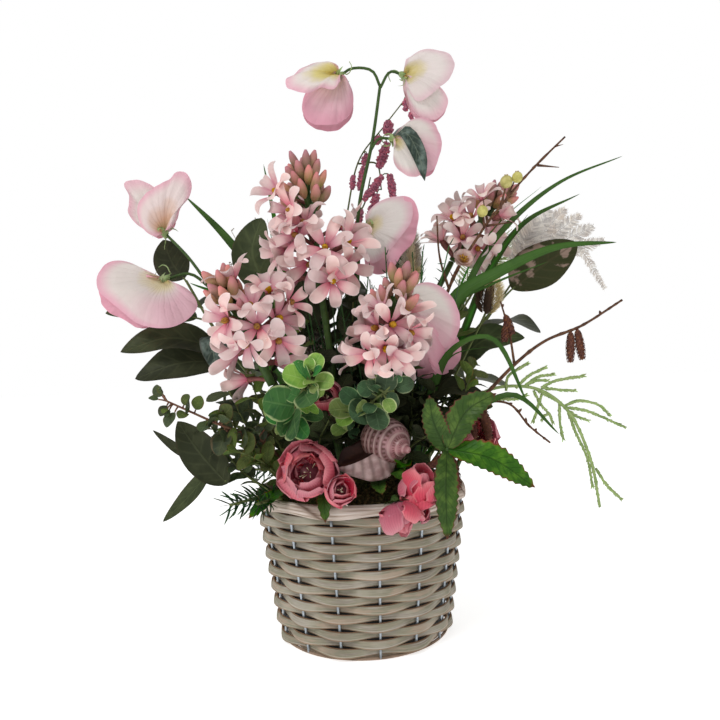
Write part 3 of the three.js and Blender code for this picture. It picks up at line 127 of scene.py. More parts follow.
# Florets of each head that show in the photo: place and facing
FLORETS = (
    (
        ((-59, -60, 375), (-0.6, -0.6, 0.45)), ((-21, -76, 326), (0.1, -0.95, 0.2)),
        ((-16, -74, 300), (0.1, -0.95, -0.25)), ((-37, -70, 346), (-0.35, -0.6, 0.75)),
        ((-56, -58, 328), (-0.85, -0.4, -0.1)), ((-34, -66, 315), (-0.4, -0.75, -0.5)),
        ((-4, -62, 332), (0.7, -0.5, 0.45)), ((-6, -64, 312), (0.65, -0.65, -0.35)),
        ((-48, -66, 358), (-0.6, -0.75, 0.1)), ((-44, -68, 338), (-0.5, -0.8, 0.1)),
    ),
    (
        ((-76, -104, 279), (-0.1, -0.7, 0.7)), ((-71, -110, 264), (0.0, -0.98, 0.0)),
        ((-95, -102, 270), (-0.6, -0.7, -0.2)), ((-57, -100, 270), (0.7, -0.6, 0.2)),
        ((-57, -104, 254), (0.4, -0.75, -0.55)), ((-80, -106, 252), (-0.35, -0.75, -0.6)),
        ((-49, -92, 282), (0.85, -0.35, 0.35)), ((-91, -90, 302), (-0.3, -0.3, 0.9)),
        ((-64, -96, 291), (0.25, -0.6, 0.75)),
    ),
    (
        ((16, -106, 260), (-0.75, -0.6, 0.1)), ((27, -112, 262), (0.45, -0.8, -0.1)),
        ((22, -112, 245), (-0.1, -0.85, -0.5)), ((10, -106, 241), (-0.6, -0.6, -0.5)),
        ((20, -102, 274), (-0.5, -0.5, 0.75)), ((38, -100, 272), (0.6, -0.6, 0.5)),
        ((40, -104, 256), (0.8, -0.5, -0.2)), ((30, -108, 240), (0.4, -0.7, -0.6)),
    ),
    (
        ((83, 14, 346), (-0.3, -0.4, 0.85)), ((101, 6, 345), (0.1, -0.9, 0.3)),
        ((110, 8, 364), (-0.1, -0.7, 0.7)), ((121, 12, 382), (-0.2, -0.5, 0.85)),
        ((138, 12, 366), (0.8, -0.5, 0.3)), ((115, 10, 336), (0.2, -0.8, -0.5)),
        ((127, 12, 345), (0.6, -0.7, -0.2)), ((94, 12, 364), (-0.5, -0.6, 0.6)),
    ),
)

# Sweet pea blooms: base at the calyx, then the ways in which the back petal and the pouch below it grow
SWEET_PEAS = (
    ((-4, -5, 488), (-0.9, -0.2, -0.3), (-0.22, -0.1, -0.97)),
    ((58, 5, 488), (0.96, -0.15, -0.2), (0.75, 0.25, -0.6)),
    ((52, 2, 444), (0.55, -0.12, -0.8), (0.12, 0.12, -0.98)),
    ((-159, -14, 355), (-0.5, 0.2, 0.84), (0.3, -0.18, 0.94)),
    ((-156, -36, 317), (-0.5, -0.3, -0.8), (-0.72, -0.1, -0.55)),
    ((10, -27, 350), (0.9, -0.2, -0.2), (0.62, -0.2, -0.72)),
    ((52, -42, 294), (0.72, -0.2, -0.6), (0.3, -0.1, -0.94)),
)

# Stems of the sweet peas: the blooms on each, and its runs with the radius at both ends and the places
PEA_STEMS = {
    "top": ((0, 1, 2), (
        (2.4, 1.4, ((2, 6, DEEP), (2, 10, 200), (3, 10, 320), (8, 4, 377), (22, 2, 435), (31, 2, 486))),
        (1.3, 1.2, ((31, 2, 483), (24, -1, 497), (6, -4, 496), (-4, -5, 487))),
        (1.3, 1.2, ((31, 2, 483), (44, 3, 494), (59, 5, 488))),
        (1.3, 1.2, ((20, 2, 426), (34, 2, 440), (53, 1.5, 443))),
    )),
    "left": ((3, 4), (
        (2.2, 1.5, ((-34, -8, DEEP), (-46, -12, 164), (-82, -20, 240), (-124, -27, 306))),
        (1.4, 1.2, ((-122, -27, 303), (-140, -21, 332), (-159, -14, 355))),
        (1.4, 1.2, ((-121, -27, 302), (-138, -32, 318), (-157, -37, 316))),
    )),
    "middle": ((5,), ((2, 1.3, ((7, -14, DEEP), (8, -17, 200), (4, -22, 300), (8, -25, 347))),)),
    "right": ((6,), ((2, 1.3, ((26, -18, DEEP), (30, -24, 180), (44, -34, 260), (51, -40, 294))),)),
}

# Narrow mottled leaf that hangs beside the third bloom
PEA_LEAF = ((40, 2, 440), (51, -9, 438), (62, -16, 414), (66, -16, 392))

# Ranunculus blooms: centre, facing, radius, kind of bloom, and the places of a short stalk into the moss
RANUNCULUS = (
    ((-39, -96, 154), (-0.12, -0.95, 0.22), 20.68, "open", ((-37, -82, 148), (-30, -58, SHALLOW))),
    ((-14, -109, 142), (0.05, -0.9, 0.3), 11, "cup", ((-14, -88, 138), (-13, -62, SHALLOW))),
    ((42, -103, 135), (0.15, -0.35, 0.92), 15, "bud", ((39, -90, 141), (33, -64, SHALLOW))),
    ((27, -115, 126), (0.1, -0.4, -0.9), 14, "bud", ((25, -93, 132), (20, -66, SHALLOW))),
    ((96, -46, 168), (0.45, -0.7, 0.45), 22.4, "open", ((86, -40, 154), (64, -30, SHALLOW))),
    ((-25, -68, 208), (-0.05, -0.9, 0.4), 13, "cup", ((-23, -58, 194), (-8, -44, SHALLOW))),
)
# The bloom that hangs over the rim, and the centre, facing and radius of a small open one beside it
HANGING = 3
SIDE_BLOOM = ((44, -106, 125), (0.75, -0.55, 0.35), 9)

# Rings of petals of a bloom, from the inside out: count, spread, rise, how far the tips lean in or out,
# the width of a petal, and its look
BLOOM_RINGS = {
    "open": (
        (4, 0.5, 0.5, 1.0, 1.3, 1), (5, 0.66, 0.85, 0.8, 1.35, 1), (5, 0.84, 0.98, 0.8, 1.4, 0),
        (6, 0.98, 0.86, 0.9, 1.45, 0), (5, 1.04, 0.5, 1.05, 1.5, 0),
    ),
    "cup": ((3, 0.5, 0.9, 0.85, 1.6, 1), (4, 0.8, 1.1, 0.85, 1.6, 0), (4, 1.0, 0.8, 1.05, 1.5, 0)),
    "bud": (
        (3, 0.34, 1.3, 0.4, 1.7, 1), (4, 0.6, 1.6, 0.4, 1.8, 0), (5, 0.8, 1.65, 0.5, 1.7, 0),
        (4, 0.92, 1.3, 0.7, 1.6, 0),
    ),
}

# The shell's axis and radius, then the share of the axis from foot to apex and of the radius there
SHELL_APEX = (38, -103, 168)
SHELL_FOOT = (8, -64, 178)
SHELL_RADIUS = 18
SHELL_PROFILE = (
    (0, 0.05), (0.06, 0.5), (0.16, 0.8), (0.3, 0.97), (0.42, 1.0), (0.55, 0.95), (0.64, 0.85), (0.7, 0.73),
    (0.75, 0.58), (0.78, 0.42), (0.84, 0.36), (0.87, 0.26), (0.93, 0.17), (1.0, 0.03),
)
# Stations of the shell's open mouth from the canal's tip to the body: front, lowest and top back edge
SHELL_MOUTH = (
    ((-17.5, -92, 156), (-17.5, -91, 155), (-17.5, -90, 157)),
    ((-8, -95, 158), (-7, -92, 149), (-12, -84, 169)),
    ((3, -95, 162), (10, -90, 144), (1, -80, 175)),
    ((15, -92, 168), (23, -88, 147), (12, -78, 178)),
    ((22, -84, 172), (29, -82, 158), (20, -76, 178)),
)

# Sprigs of round leaves: looks of the two kinds of leaf, a stalk, and leaves with place, facing and radius
EUCALYPTUS = {
    "variegated_left": (
        ("light_eucalyptus", "eucalyptus"),
        ((-46, -46, SHALLOW), (-49, -66, 170), (-48, -100, 200), (-36, -108, 224)),
        (
            ((-29, -112, 236), (0.1, -0.9, 0.5), 10), ((-44, -111, 226), (-0.4, -0.8, 0.5), 11),
            ((-24, -113, 222), (0.4, -0.9, 0.2), 10), ((-36, -116, 211), (0.1, -0.95, -0.1), 11),
            ((-57, -109, 207), (-0.5, -0.8, 0.2), 12), ((-46, -112, 192), (-0.1, -0.85, -0.4), 12),
            ((-60, -92, 196), (-0.6, -0.5, 0.5), 11), ((-34, -98, 196), (0.5, -0.6, 0.5), 10),
        ),
    ),
    "variegated_right": (
        ("shaded_eucalyptus", "light_eucalyptus"),
        ((0, -34, SHALLOW), (1, -52, 180), (6, -86, 200), (20, -101, 212)),
        (
            ((6, -101, 215), (-0.3, -0.9, 0.4), 9), ((22, -105, 221), (0.1, -0.9, 0.5), 9),
            ((35, -104, 217), (0.5, -0.8, 0.4), 9), ((-12, -92, 200), (-0.4, -0.8, 0.4), 10),
            ((2, -98, 198), (0, -0.95, 0.1), 10), ((14, -99, 193), (0.3, -0.9, -0.1), 9),
            ((24, -98, 205), (0.4, -0.9, 0.1), 9), ((-14, -84, 184), (-0.3, -0.8, 0.4), 9),
        ),
    ),
    "grey_left": (
        ("grey_leaf", "olive_leaf"),
        ((-54, -34, SHALLOW), (-70, -60, 168), (-112, -76, 192), (-150, -72, 210)),
        (
            ((-146, -78, 196), (-0.3, -0.8, 0.5), 9), ((-131, -80, 206), (0, -0.8, 0.6), 9),
            ((-118, -84, 190), (-0.2, -0.9, 0.2), 10), ((-102, -82, 199), (0.2, -0.8, 0.5), 10),
            ((-88, -82, 181), (0.1, -0.95, 0), 10), ((-106, -80, 176), (-0.3, -0.9, -0.2), 10),
            ((-70, -74, 190), (0.2, -0.8, 0.5), 9), ((-88, -66, 163), (-0.3, -0.8, -0.2), 10),
            ((-158, -68, 218), (-0.6, -0.6, 0.4), 8),
        ),
    ),
    "back": (
        ("eucalyptus", "grey_leaf"),
        ((-8, 46, SHALLOW), (-12, 62, 160), (-26, 98, 246)),
        (
            ((-28, 104, 258), (0, 0.8, 0.6), 11), ((-40, 98, 240), (-0.6, 0.7, 0.4), 12),
            ((-12, 100, 240), (0.6, 0.7, 0.4), 12), ((-36, 92, 218), (-0.6, 0.8, 0), 13),
            ((-6, 92, 216), (0.6, 0.8, 0.1), 13), ((-30, 82, 192), (-0.5, 0.8, -0.1), 13),
            ((-2, 78, 188), (0.6, 0.8, 0), 12),
        ),
    ),
}
# How much the round leaves of a sprig differ in size, in turn
LEAF_SIZES = (0.75, 1.0, 0.8, 1.0, 1.2, 1.1, 0.85, 0.8)

# Branches of large leaves: a stalk, then leaves with root, middle, tip, facing and half width
LEAF_BRANCHES = {
    "left": (
        ((-42, 8, DEEP), (-58, 6, 160), (-86, 0, 212), (-124, -6, 268), (-150, 0, 314)),
        (
            ((-148, 0, 312), (-162, 2, 330), (-170, 2, 352), (-0.2, -0.95, 0.3), 16),
            ((-130, -4, 276), (-180, -2, 290), (-222, -4, 287), (0, -0.8, 0.6), 15),
            ((-112, -6, 248), (-158, -30, 262), (-199, -34, 251), (0, -0.75, 0.66), 17),
            ((-106, -8, 240), (-150, -34, 240), (-186, -38, 228), (0.1, -0.75, 0.5), 17),
            ((-104, -8, 238), (-118, -40, 262), (-116, -50, 232), (-0.3, -0.9, 0.3), 13),
            ((-136, 2, 288), (-156, 32, 296), (-178, 52, 286), (-0.4, 0.3, 0.8), 15),
            ((-96, 0, 226), (-130, 30, 244), (-160, 52, 238), (-0.3, 0.4, 0.8), 15),
        ),
    ),
    "low_left": (
        ((-58, -16, SHALLOW), (-66, -21, 144), (-92, -32, 160)),
        (
            ((-88, -32, 158), (-126, -66, 166), (-145, -62, 193), (-0.2, -0.8, 0.6), 15),
            ((-88, -32, 157), (-137, -58, 134), (-162, -54, 111), (-0.3, -0.85, 0.4), 7.5),
            ((-84, -30, 154), (-145, -54, 168), (-167, -56, 186), (-0.4, -0.8, 0.3), 4),
            ((-80, -28, 152), (-120, -8, 158), (-150, 4, 142), (-0.3, 0.1, 0.9), 13),
        ),
    ),
    "right": (
        ((48, 22, DEEP), (60, 24, 168), (92, 26, 234), (140, 30, 290)),
        (
            ((137, 30, 287), (182, 28, 322), (213, 28, 341), (-0.3, -0.85, 0.45), 24),
            ((88, 24, 226), (120, 10, 252), (154, 4, 252), (0, -0.8, 0.6), 15),
            ((112, 28, 260), (150, 50, 272), (186, 66, 258), (0.2, 0.1, 0.95), 18),
            ((76, 25, 200), (116, 44, 214), (150, 60, 206), (0.2, 0.2, 0.95), 17),
        ),
    ),
    "centre": (
        ((36, -37, SHALLOW), (39, -43, 164), (46, -48, 190)),
        (
            ((45, -48, 188), (74, -56, 212), (108, -58, 202), (0, -0.5, 0.85), 13),
            ((45, -47, 186), (64, -66, 190), (84, -84, 182), (0.2, -0.6, 0.75), 12),
            ((42, -44, 176), (30, -66, 192), (16, -84, 178), (-0.2, -0.6, 0.7), 10),
        ),
    ),
    "back_left": (
        ((-30, 34, DEEP), (-40, 44, 164), (-66, 66, 220), (-84, 74, 280)),
        (
            ((-83, 73, 276), (-92, 66, 318), (-84, 50, 356), (-0.3, -0.4, 0.6), 19),
            ((-74, 70, 250), (-116, 84, 276), (-152, 88, 266), (-0.3, 0.4, 0.8), 18),
            ((-62, 64, 214), (-96, 96, 232), (-128, 112, 214), (-0.4, 0.6, 0.7), 17),
            ((-46, 50, 168), (-86, 76, 172), (-120, 92, 150), (-0.4, 0.5, 0.7), 17),
            ((-70, 68, 240), (-56, 100, 262), (-54, 120, 284), (0.2, 0.8, 0.3), 16),
        ),
    ),
    "back_right": (
        ((26, 40, DEEP), (34, 52, 162), (52, 78, 220), (56, 88, 300)),
        (
            ((56, 88, 296), (52, 84, 336), (40, 70, 372), (0.2, 0.8, 0.2), 19),
            ((55, 86, 270), (92, 104, 288), (124, 108, 282), (0.3, 0.6, 0.7), 18),
            ((50, 76, 214), (88, 104, 232), (116, 118, 214), (0.3, 0.6, 0.7), 17),
            ((38, 58, 172), (76, 88, 178), (104, 104, 154), (0.4, 0.6, 0.7), 17),
            ((54, 84, 252), (26, 106, 276), (10, 118, 296), (-0.3, 0.9, 0.3), 16),
        ),
    ),
}
# Leaves on a long leafstalk: branch and number, and the place where the blade starts
LONG_LEAFSTALKS = {
    ("right", 0): (150, 28.5, 299),
    ("low_left", 0): (-106, -66, 142),
    ("low_left", 1): (-118, -60, 158),
    ("low_left", 2): (-128, -50, 158),
}

# Broad dark leaves behind the flower heads: stalk, leaf from root to tip, and half width
BROAD_LEAVES = (
    (((-40, -4, 146), (-62, -8, 230), (-70, -10, 296)),
     ((-70, -10, 296), (-88, -10, 334), (-79, -10, 366)), 19),
    (((-30, -6, 146), (-42, -8, 210), (-46, -10, 258)),
     ((-46, -10, 258), (-42, -10, 292), (-50, -10, 320)), 17),
    (((10, 8, 146), (8, 10, 200), (4, 8, 240)), ((4, 8, 240), (-2, 6, 272), (4, 4, 302)), 15),
)

# Grass clumps: the places of each blade and its half width
GRASS = {
    "left": (
        (((-30, 14, SHALLOW), (-58, 22, 220), (-84, 10, 308), (-112, 2, 350), (-150, 8, 392)), 5),
        (((-42, 17.5, 158), (-54, 32, 250), (-72, 32, 370), (-80, 24, 424)), 3),
        (((-50, 20, 189), (-86, 46, 240), (-124, 66, 300), (-166, 76, 322)), 4),
    ),
    "right": (
        (((48, 0, SHALLOW), (62, -14, 210), (88, -28, 286), (118, -32, 304), (170, -38, 325),
          (222, -42, 328)), 6),
        (((53, -6.5, 156), (80, 6, 240), (114, 2, 320), (150, 10, 362), (195, 15, 395), (256, 20, 419)), 3),
        (((57, -10, 181), (92, -2, 246), (124, 10, 312), (160, 18, 358), (216, 24, 386)), 3.5),
    ),
    "front": (
        (((47, -30, SHALLOW), (54, -40, 176), (76, -64, 240), (104, -88, 250), (128, -96, 200)), 3.5),
        (((55, -41, 155), (76, -64, 178), (118, -92, 206), (150, -100, 176)), 3),
    ),
}
GRASS_FACE = (0.1, -0.75, 0.65)

# Sprigs of serrated leaves: a stalk, and leaves with root, middle, tip, facing and half width
SERRATED = {
    "right": (
        ((58, -44, SHALLOW), (61, -60, 142), (67, -94, 168)),
        (
            ((66, -94, 167), (82, -98, 196), (104, -98, 208), (-0.2, -0.95, 0.3), 12),
            ((66, -94, 166), (98, -104, 160), (129, -104, 138), (0.1, -0.8, 0.6), 13),
            ((66, -93, 164), (62, -112, 140), (61, -118, 106), (0.2, -0.95, 0.2), 10),
            ((65, -90, 166), (56, -98, 190), (54, -98, 208), (0, -0.95, 0.3), 10),
        ),
    ),
    "back": (
        ((6, 60, SHALLOW), (9, 70, 144), (20, 104, 168)),
        (
            ((19, 103, 166), (36, 118, 172), (52, 122, 154), (0.3, 0.8, 0.5), 12),
            ((19, 103, 165), (12, 120, 150), (10, 126, 122), (0, 0.95, 0.3), 12),
            ((18, 102, 166), (2, 112, 186), (-6, 108, 206), (-0.2, 0.9, 0.3), 11),
        ),
    ),
}

# Small serrated leaves low in front: root, middle, tip, facing and half width
SMALL_LEAVES = (
    ((24, -62, 148), (28, -88, 150), (31, -100, 146), (0, -0.5, 0.85), 7),
    ((14, -60, 146), (14, -88, 140), (16, -100, 136), (0, -0.6, 0.8), 7),
    ((-32, -66, 140), (-28, -94, 132), (-27, -101, 117), (0, -0.9, 0.4), 6),
    ((36, -60, 146), (34, -84, 156), (26, -98, 160), (-0.2, -0.8, 0.5), 7),
    ((-60, -52, 134), (-72, -86, 132), (-84, -100, 122), (-0.1, -0.8, 0.6), 7),
)

# Brown twig: runs with their radius at both ends, then catkins with start, end and radius
HAZEL_RUNS = (
    (((42, -14, DEEP), (56, -20, 148), (94, -38, 190), (138, -32, 231), (164, -26, 248), (198, -18, 260),
      (238, -10, 282)), (2.2, 0.9)),
    (((135, -32, 228), (132, -30, 256), (126, -28, 283)), (1.1, 0.7)),
    (((104, -37, 199), (126, -48, 196), (140, -54, 178), (156, -56, 164)), (1.1, 0.7)),
)
HAZEL_CATKINS = (
    ((188, -20, 256), (186, -22, 228), 3.6), ((194, -19, 258), (197, -21, 230), 3.6),
    ((131, -30, 268), (127, -32, 248), 3), ((129, -29, 272), (134, -33, 254), 3),
    ((97, -38, 194), (92, -60, 166), 4.4), ((103, -37, 200), (106, -62, 168), 4.4),
)
CATKIN_SCALES = 90

# Short twig among the serrated leaves with a catkin on each of its two tips
LOW_TWIGS = (
    ((34, -46, 146), (46, -68, 147), (55, -83, 153)),
    ((46, -68, 147), (62, -76, 158), (70, -79, 164)),
)
LOW_CATKINS = (((54, -83, 152), (74, -84, 166), 3.8), ((70, -79, 164), (75, -86, 134), 4.4))

# Thorny twig: runs with their radius at both ends, spurs, and berries with place and radius
THORNY_RUNS = (
    (((36, 4, DEEP), (48, -3, 180), (66, -12, 250), (91, -16, 312), (107, -18, 336), (120, -20, 354),
      (146, -26, 384), (164, -28, 402), (186, -30, 422)), (2.2, 0.8)),
    (((84, -15, 296), (77, -13, 326), (76, -12, 362)), (1.1, 0.6)),
)
THORNY_SPURS = (
    ((119, -20, 353), (115, -23, 374), 1.3), ((118, -20, 350), (142, -24, 352), 1.3),
    ((162, -28, 399), (180, -30, 396), 1.2), ((90, -16, 310), (95, -26, 319), 1.8),
    ((130, -22, 364), (136, -27, 388), 1.4), ((134, -23, 369), (144, -29, 391), 1.4),
    ((116, -20, 348), (114, -25, 365), 1.3),
)
BERRIES = (((135, -27, 386), 5.4), ((144, -29, 389), 4.6), ((114, -24, 362), 4.8))
# Small half open bloom of the thorny twig: centre, facing, and its rings of petals with reach and rise
THORNY_BLOOM = (95, -27, 320)
THORNY_BLOOM_FACE = (0.1, -0.9, 0.4)
THORNY_BLOOM_RINGS = ((9.5, 3), (8, 5.5))
THORNY_STAMENS = 16

# Bunny tails: the places of a thin stalk, then both ends of the oval head and its radius
BUNNY_TAILS = (
    (((58, 10, SHALLOW), (72, 6, 180), (118, -4, 276)), (118, -4, 274), (124, -5, 304), 8),
    (((17, 2, SHALLOW), (30, 4, 200), (52, 3, 296)), (52, 3, 294), (54, 3, 352), 8),
)
BUNNY_HAIRS = 900

# Feathery plumes: look and slot, half width of a barb, a stalk, and arched vanes with their half width
PLUMES = {
    "green": (
        "feather_green", "pale_green", 0.55, ((30, 26, SHALLOW), (50, 46, 190), (134, 84, 320)),
        (
            ((134, 84, 318), (150, 86, 356), (146, 84, 396), 16),
            ((124, 79.5, 304), (152, 90, 338), (176, 92, 362), 14),
            ((114, 75, 290), (120, 92, 344), (112, 94, 380), 13),
        ),
    ),
    "white": (
        "feather_white", "plume_white", 1.0, ((41, 28, SHALLOW), (60, 44, 170), (172, 72, 326)),
        (
            ((160, 68, 308), (170, 70, 344), (188, 70, 374), 12),
            ((162, 68, 310), (178, 70, 350), (202, 70, 382), 12),
            ((164, 69, 312), (186, 70, 350), (217, 70, 383), 12),
            ((166, 69, 314), (196, 70, 350), (232, 70, 376), 12),
            ((168, 70, 316), (206, 70, 346), (245, 70, 364), 12),
            ((169, 70, 318), (212, 70, 338), (255, 70, 350), 10),
            ((158, 68.5, 306), (222, 66, 344), (252, 64, 300), 6),
        ),
    ),
}
BARBS = 46

# Light green spray that drapes over the right side, and its twiglets as places across and up
DRAPE = (
    (66, -8, SHALLOW), (74, -12, 152), (108, -20, 204), (150, -34, 208), (174, -44, 190), (190, -50, 150),
    (196, -52, 110),
)
DRAPE_TWIGLETS = (
    ((112, 200), (136, 199), (144, 202)), ((128, 206), (130, 218), (146, 229)),
    ((136, 208), (146, 218), (160, 225)), ((142, 209), (154, 217), (166, 219)),
    ((142, 209), (152, 214), (161, 214)), ((156, 208), (166, 213), (189, 217)),
    ((156, 208), (170, 206), (182, 205)), ((150, 206), (155, 195), (162, 185)),
    ((157, 204), (153, 192), (149, 180)),
    ((170, 196), (170, 177), (172, 165)), ((173, 192), (184, 196), (199, 193), (208, 184)),
    ((175, 191), (190, 188), (219, 174)), ((177, 188), (184, 183), (191, 180)),
    ((176, 190), (181, 172), (190, 148), (193, 125)), ((196, 140), (204, 126), (214, 115)),
    ((162, 186), (158, 184), (156, 181)), ((162, 186), (163, 182), (164, 179)),
)

# Sprigs of needles: the length of a needle, the seed of its draws, and slim stalks
NEEDLES = {
    "low_left": (17, 61, (
        ((-58, -48, SHALLOW), (-66, -64, 130), (-98, -98, 132)),
        ((-66, -62, 129), (-76, -108, 134)),
    )),
    "low_back": (18, 67, (((-56, 36, SHALLOW), (-70, 50, 132), (-106, 76, 130)),)),
}
NEEDLE_COUNT = 46

# Magenta spray: its stalk and strings, then clumps of beads with upper end, lower end and radius
AMARANTH_STALK = ((-4, 22, SHALLOW), (-7, 26, 300), (-5, 26, 372))
AMARANTH_STRINGS = (
    ((-5, 26, 368), (10, 26, 426), (34, 26, 456), (54, 26, 480)),
    ((-6, 26, 362), (12, 28, 382), (20, 30, 410)),
    ((9, 26, 422), (26, 28, 422), (30, 30, 398)),
)
CLUMPS = (
    ((39, 24, 460), (37, 24, 448), 5.5), ((37, 24, 440), (28, 24, 417), 5),
    ((30, 24, 446), (26, 24, 440), 3.5), ((17, 24, 430), (14, 24, 420), 3),
    ((14, 24, 418), (9, 24, 397), 3.6), ((31, 24, 409), (13, 24, 387), 4),
    ((38, 24, 410), (41, 24, 387), 4), ((25, 24, 392), (18, 24, 366), 4.6),
    ((57, 24, 482), (55, 24, 470), 3.6), ((61, 24, 468), (60, 24, 462), 2.6),
    ((4, 24, 410), (2, 24, 398), 2.6), ((10, 24, 378), (6, 24, 364), 3.4),
)

# Grey statice: its stalk, and the axis of its cluster
STATICE_STALK = ((-14, -4, SHALLOW), (-22, 0, 172), (-34, 4, 226))
STATICE_FOOT = (-34, 4, 222)
STATICE_TOP = (-38, 6, 292)
STATICE_REACH = 15
STATICE_FLORETS = 420

# Pale dry twiglets: foot, bend and end of each
DRY_TWIGS = (
    ((-66, 20, 240), (-96, 14, 330), (-110, 10, 360)), ((-100, 12, 338), (-96, 8, 356), (-84, 4, 366)),
    ((-94, 14, 322), (-108, 12, 330), (-122, 10, 322)), ((-16, -70, 150), (-12, -92, 144), (-11, -96, 128)),
)
THIN_STEMS = 70
STEM_NEEDLES_FROM = 8


def unit(vectors):
    vectors = np.asarray(vectors, float)
    return vectors / np.linalg.norm(vectors, axis=-1, keepdims=True)


def basket_radius(z):
    return FOOT_RADIUS + (RIM_RADIUS - FOOT_RADIUS) * z / RIM_HEIGHT


def polar(radius, angle, z):
    radius, angle, z = np.broadcast_arrays(radius, angle, z)
    return np.stack([radius * np.sin(angle), -radius * np.cos(angle), z], axis=-1)


def spline(places, shares):
    """Points at shares of the length of a smooth curve through the places"""
    spots = np.asarray(places, float)
    ends = np.vstack([2 * spots[0] - spots[1], spots, 2 * spots[-1] - spots[-2]])
    t = np.linspace(0, 1, 16, endpoint=False)[:, None]
    runs = []
    for a, b, c, d in zip(ends, ends[1:], ends[2:], ends[3:]):
        ab, bc, cd = (math.sqrt(np.linalg.norm(q - p)) for p, q in ((a, b), (b, c), (c, d)))
        leave = ((b - a) / ab - (c - a) / (ab + bc) + (c - b) / bc) * bc
        enter = ((c - b) / bc - (d - b) / (bc + cd) + (d - c) / cd) * bc
        start = (2 * t ** 3 - 3 * t ** 2 + 1) * b + (t ** 3 - 2 * t ** 2 + t) * leave
        runs.append(start + (3 * t ** 2 - 2 * t ** 3) * c + (t ** 3 - t ** 2) * enter)
    fine = np.vstack([*runs, spots[-1:]])
    reach = np.concatenate([[0], np.cumsum(np.linalg.norm(np.diff(fine, axis=0), axis=1))])
    if np.isscalar(shares):
        shares = np.linspace(0, 1, shares)
    return np.column_stack([np.interp(np.asarray(shares) * reach[-1], reach, fine[:, k]) for k in range(3)])


def length_of(places):
    return float(np.linalg.norm(np.diff(spline(places, 24), axis=0), axis=1).sum())


def eased(count, ease=0.6):
    """Shares from 0 to 1 that lie closer together at both ends"""
    t = np.linspace(0, 1, count)
    return (1 - ease) * t + ease * (0.5 - 0.5 * np.cos(math.pi * t))


def sheet_frame(path, face):
    along = unit(np.gradient(path, axis=0))
    side = unit(np.cross(along, np.broadcast_to(np.asarray(face, float), along.shape)))
    return along, side, np.cross(side, along)


def tube_frame(path):
    along = unit(np.gradient(path, axis=0))
    side = np.empty_like(along)
    last = np.cross(along[0], AWAY)
    for i, heading in enumerate(along):
        last = unit(last - heading * np.dot(last, heading))
        side[i] = last
    return along, side, np.cross(along, side)


def spoke(axis, turn):
    """The way straight out from an axis at an angle round it, or a ring of such ways for many angles"""
    side = unit(np.cross(axis, AWAY))
    turn = np.asarray(turn, float)[..., None]
    return side * np.cos(turn) + np.cross(axis, side) * np.sin(turn)


def around(axis, index, count, low, high, tilt):
    """One of many spots spread round an axis: its share of the axis, the way out, and that way tilted"""
    share = low + (high - low) * (index + 0.5) / count
    along = unit(axis)
    out = spoke(along, index * GOLDEN_ANGLE)
    return share, out, out * math.cos(tilt) + along * math.sin(tilt)


def outline(shares, root, tip):
    """Half width of a leaf or petal along its length, at most 1: larger powers give sharper ends"""
    shares = np.clip(shares, 0.0, 1.0)
    widest = root / (root + tip)
    top = widest ** root * (1 - widest) ** tip
    return np.maximum(shares ** root * (1 - shares) ** tip / top, 0.012)


def tube(places, radii, rows=12, sides=8):
    """A closed round tube of rows of points, its radius following the list of radii"""
    shares = np.concatenate([[0], np.linspace(0, 1, rows), [1]])
    path = spline(places, np.linspace(0, 1, rows))
    _, side, other = tube_frame(path)
    path = np.vstack([path[:1], path, path[-1:]])
    side = np.vstack([side[:1], side, side[-1:]])
    other = np.vstack([other[:1], other, other[-1:]])
    radius = np.interp(shares, np.linspace(0, 1, len(radii)), radii)
    radius[[0, -1]] = 0.02
    turn = np.linspace(0, 2 * math.pi, sides, endpoint=False)
    ring = side[:, None] * np.cos(turn)[:, None] + other[:, None] * np.sin(turn)[:, None]
    return path[:, None] + ring * radius[:, None, None]


def sheet(places, face, half, rows=9, cols=7, ends=(1.0, 1.0), cup=0.2, ruffle=0.0, waves=2.0, phase=0.0,
          teeth=0, tooth=0.0):
    """A leaf or petal: across it bends by the angle cup at its edges, and the edges wave by ruffle"""
    shares = eased(rows, 0.0 if teeth else 0.6)
    path = spline(places, shares)
    along, side, normal = sheet_frame(path, face)
    wide = half * outline(shares, *ends)
    if teeth:
        saw = (shares * teeth) % 1.0
        wide = wide * (1 - tooth * saw)
        along_shift = tooth * half * 0.8 * (0.5 - saw)
    else:
        along_shift = np.zeros(rows)
    across = np.linspace(-1, 1, cols)
    bend = cup if abs(cup) > 0.01 else 0.01
    out = wide[:, None] * np.sin(bend * across) / bend
    lift = wide[:, None] * (1 - np.cos(bend * across)) / bend
    wave = np.sin(2 * math.pi * waves * shares[:, None] + phase + np.sign(across) * 0.9)
    lift = lift + ruffle * wave * np.abs(across) ** 2.5 * np.sin(math.pi * shares[:, None]) ** 0.4
    edge = np.abs(across) ** 3 * along_shift[:, None]
    return path[:, None] + side[:, None] * out[..., None] + normal[:, None] * lift[..., None] \
        + along[:, None] * edge[..., None]


def ball(place, radii, axis=UP, rows=9, sides=10):
    """A round or oval body at a place: radius across, and half length along its axis"""
    across, half = radii
    along = unit(axis)
    slope = np.linspace(0.02, math.pi - 0.02, rows)
    ring = spoke(along, np.linspace(0, 2 * math.pi, sides, endpoint=False))
    centre = np.asarray(place, float) - along * (half * np.cos(slope))[:, None]
    return centre[:, None] + ring * (across * np.sin(slope))[:, None, None]


def nearest_on(places, point):
    """The place on a run of stalk that lies nearest to a point"""
    spots = []
    for a, b in zip(places, places[1:]):
        a, b = np.array(a, float), np.array(b, float)
        share = np.clip(np.dot(point - a, b - a) / np.dot(b - a, b - a), 0, 1)
        spots.append(a + (b - a) * share)
    return min(spots, key=lambda spot: np.linalg.norm(spot - point))


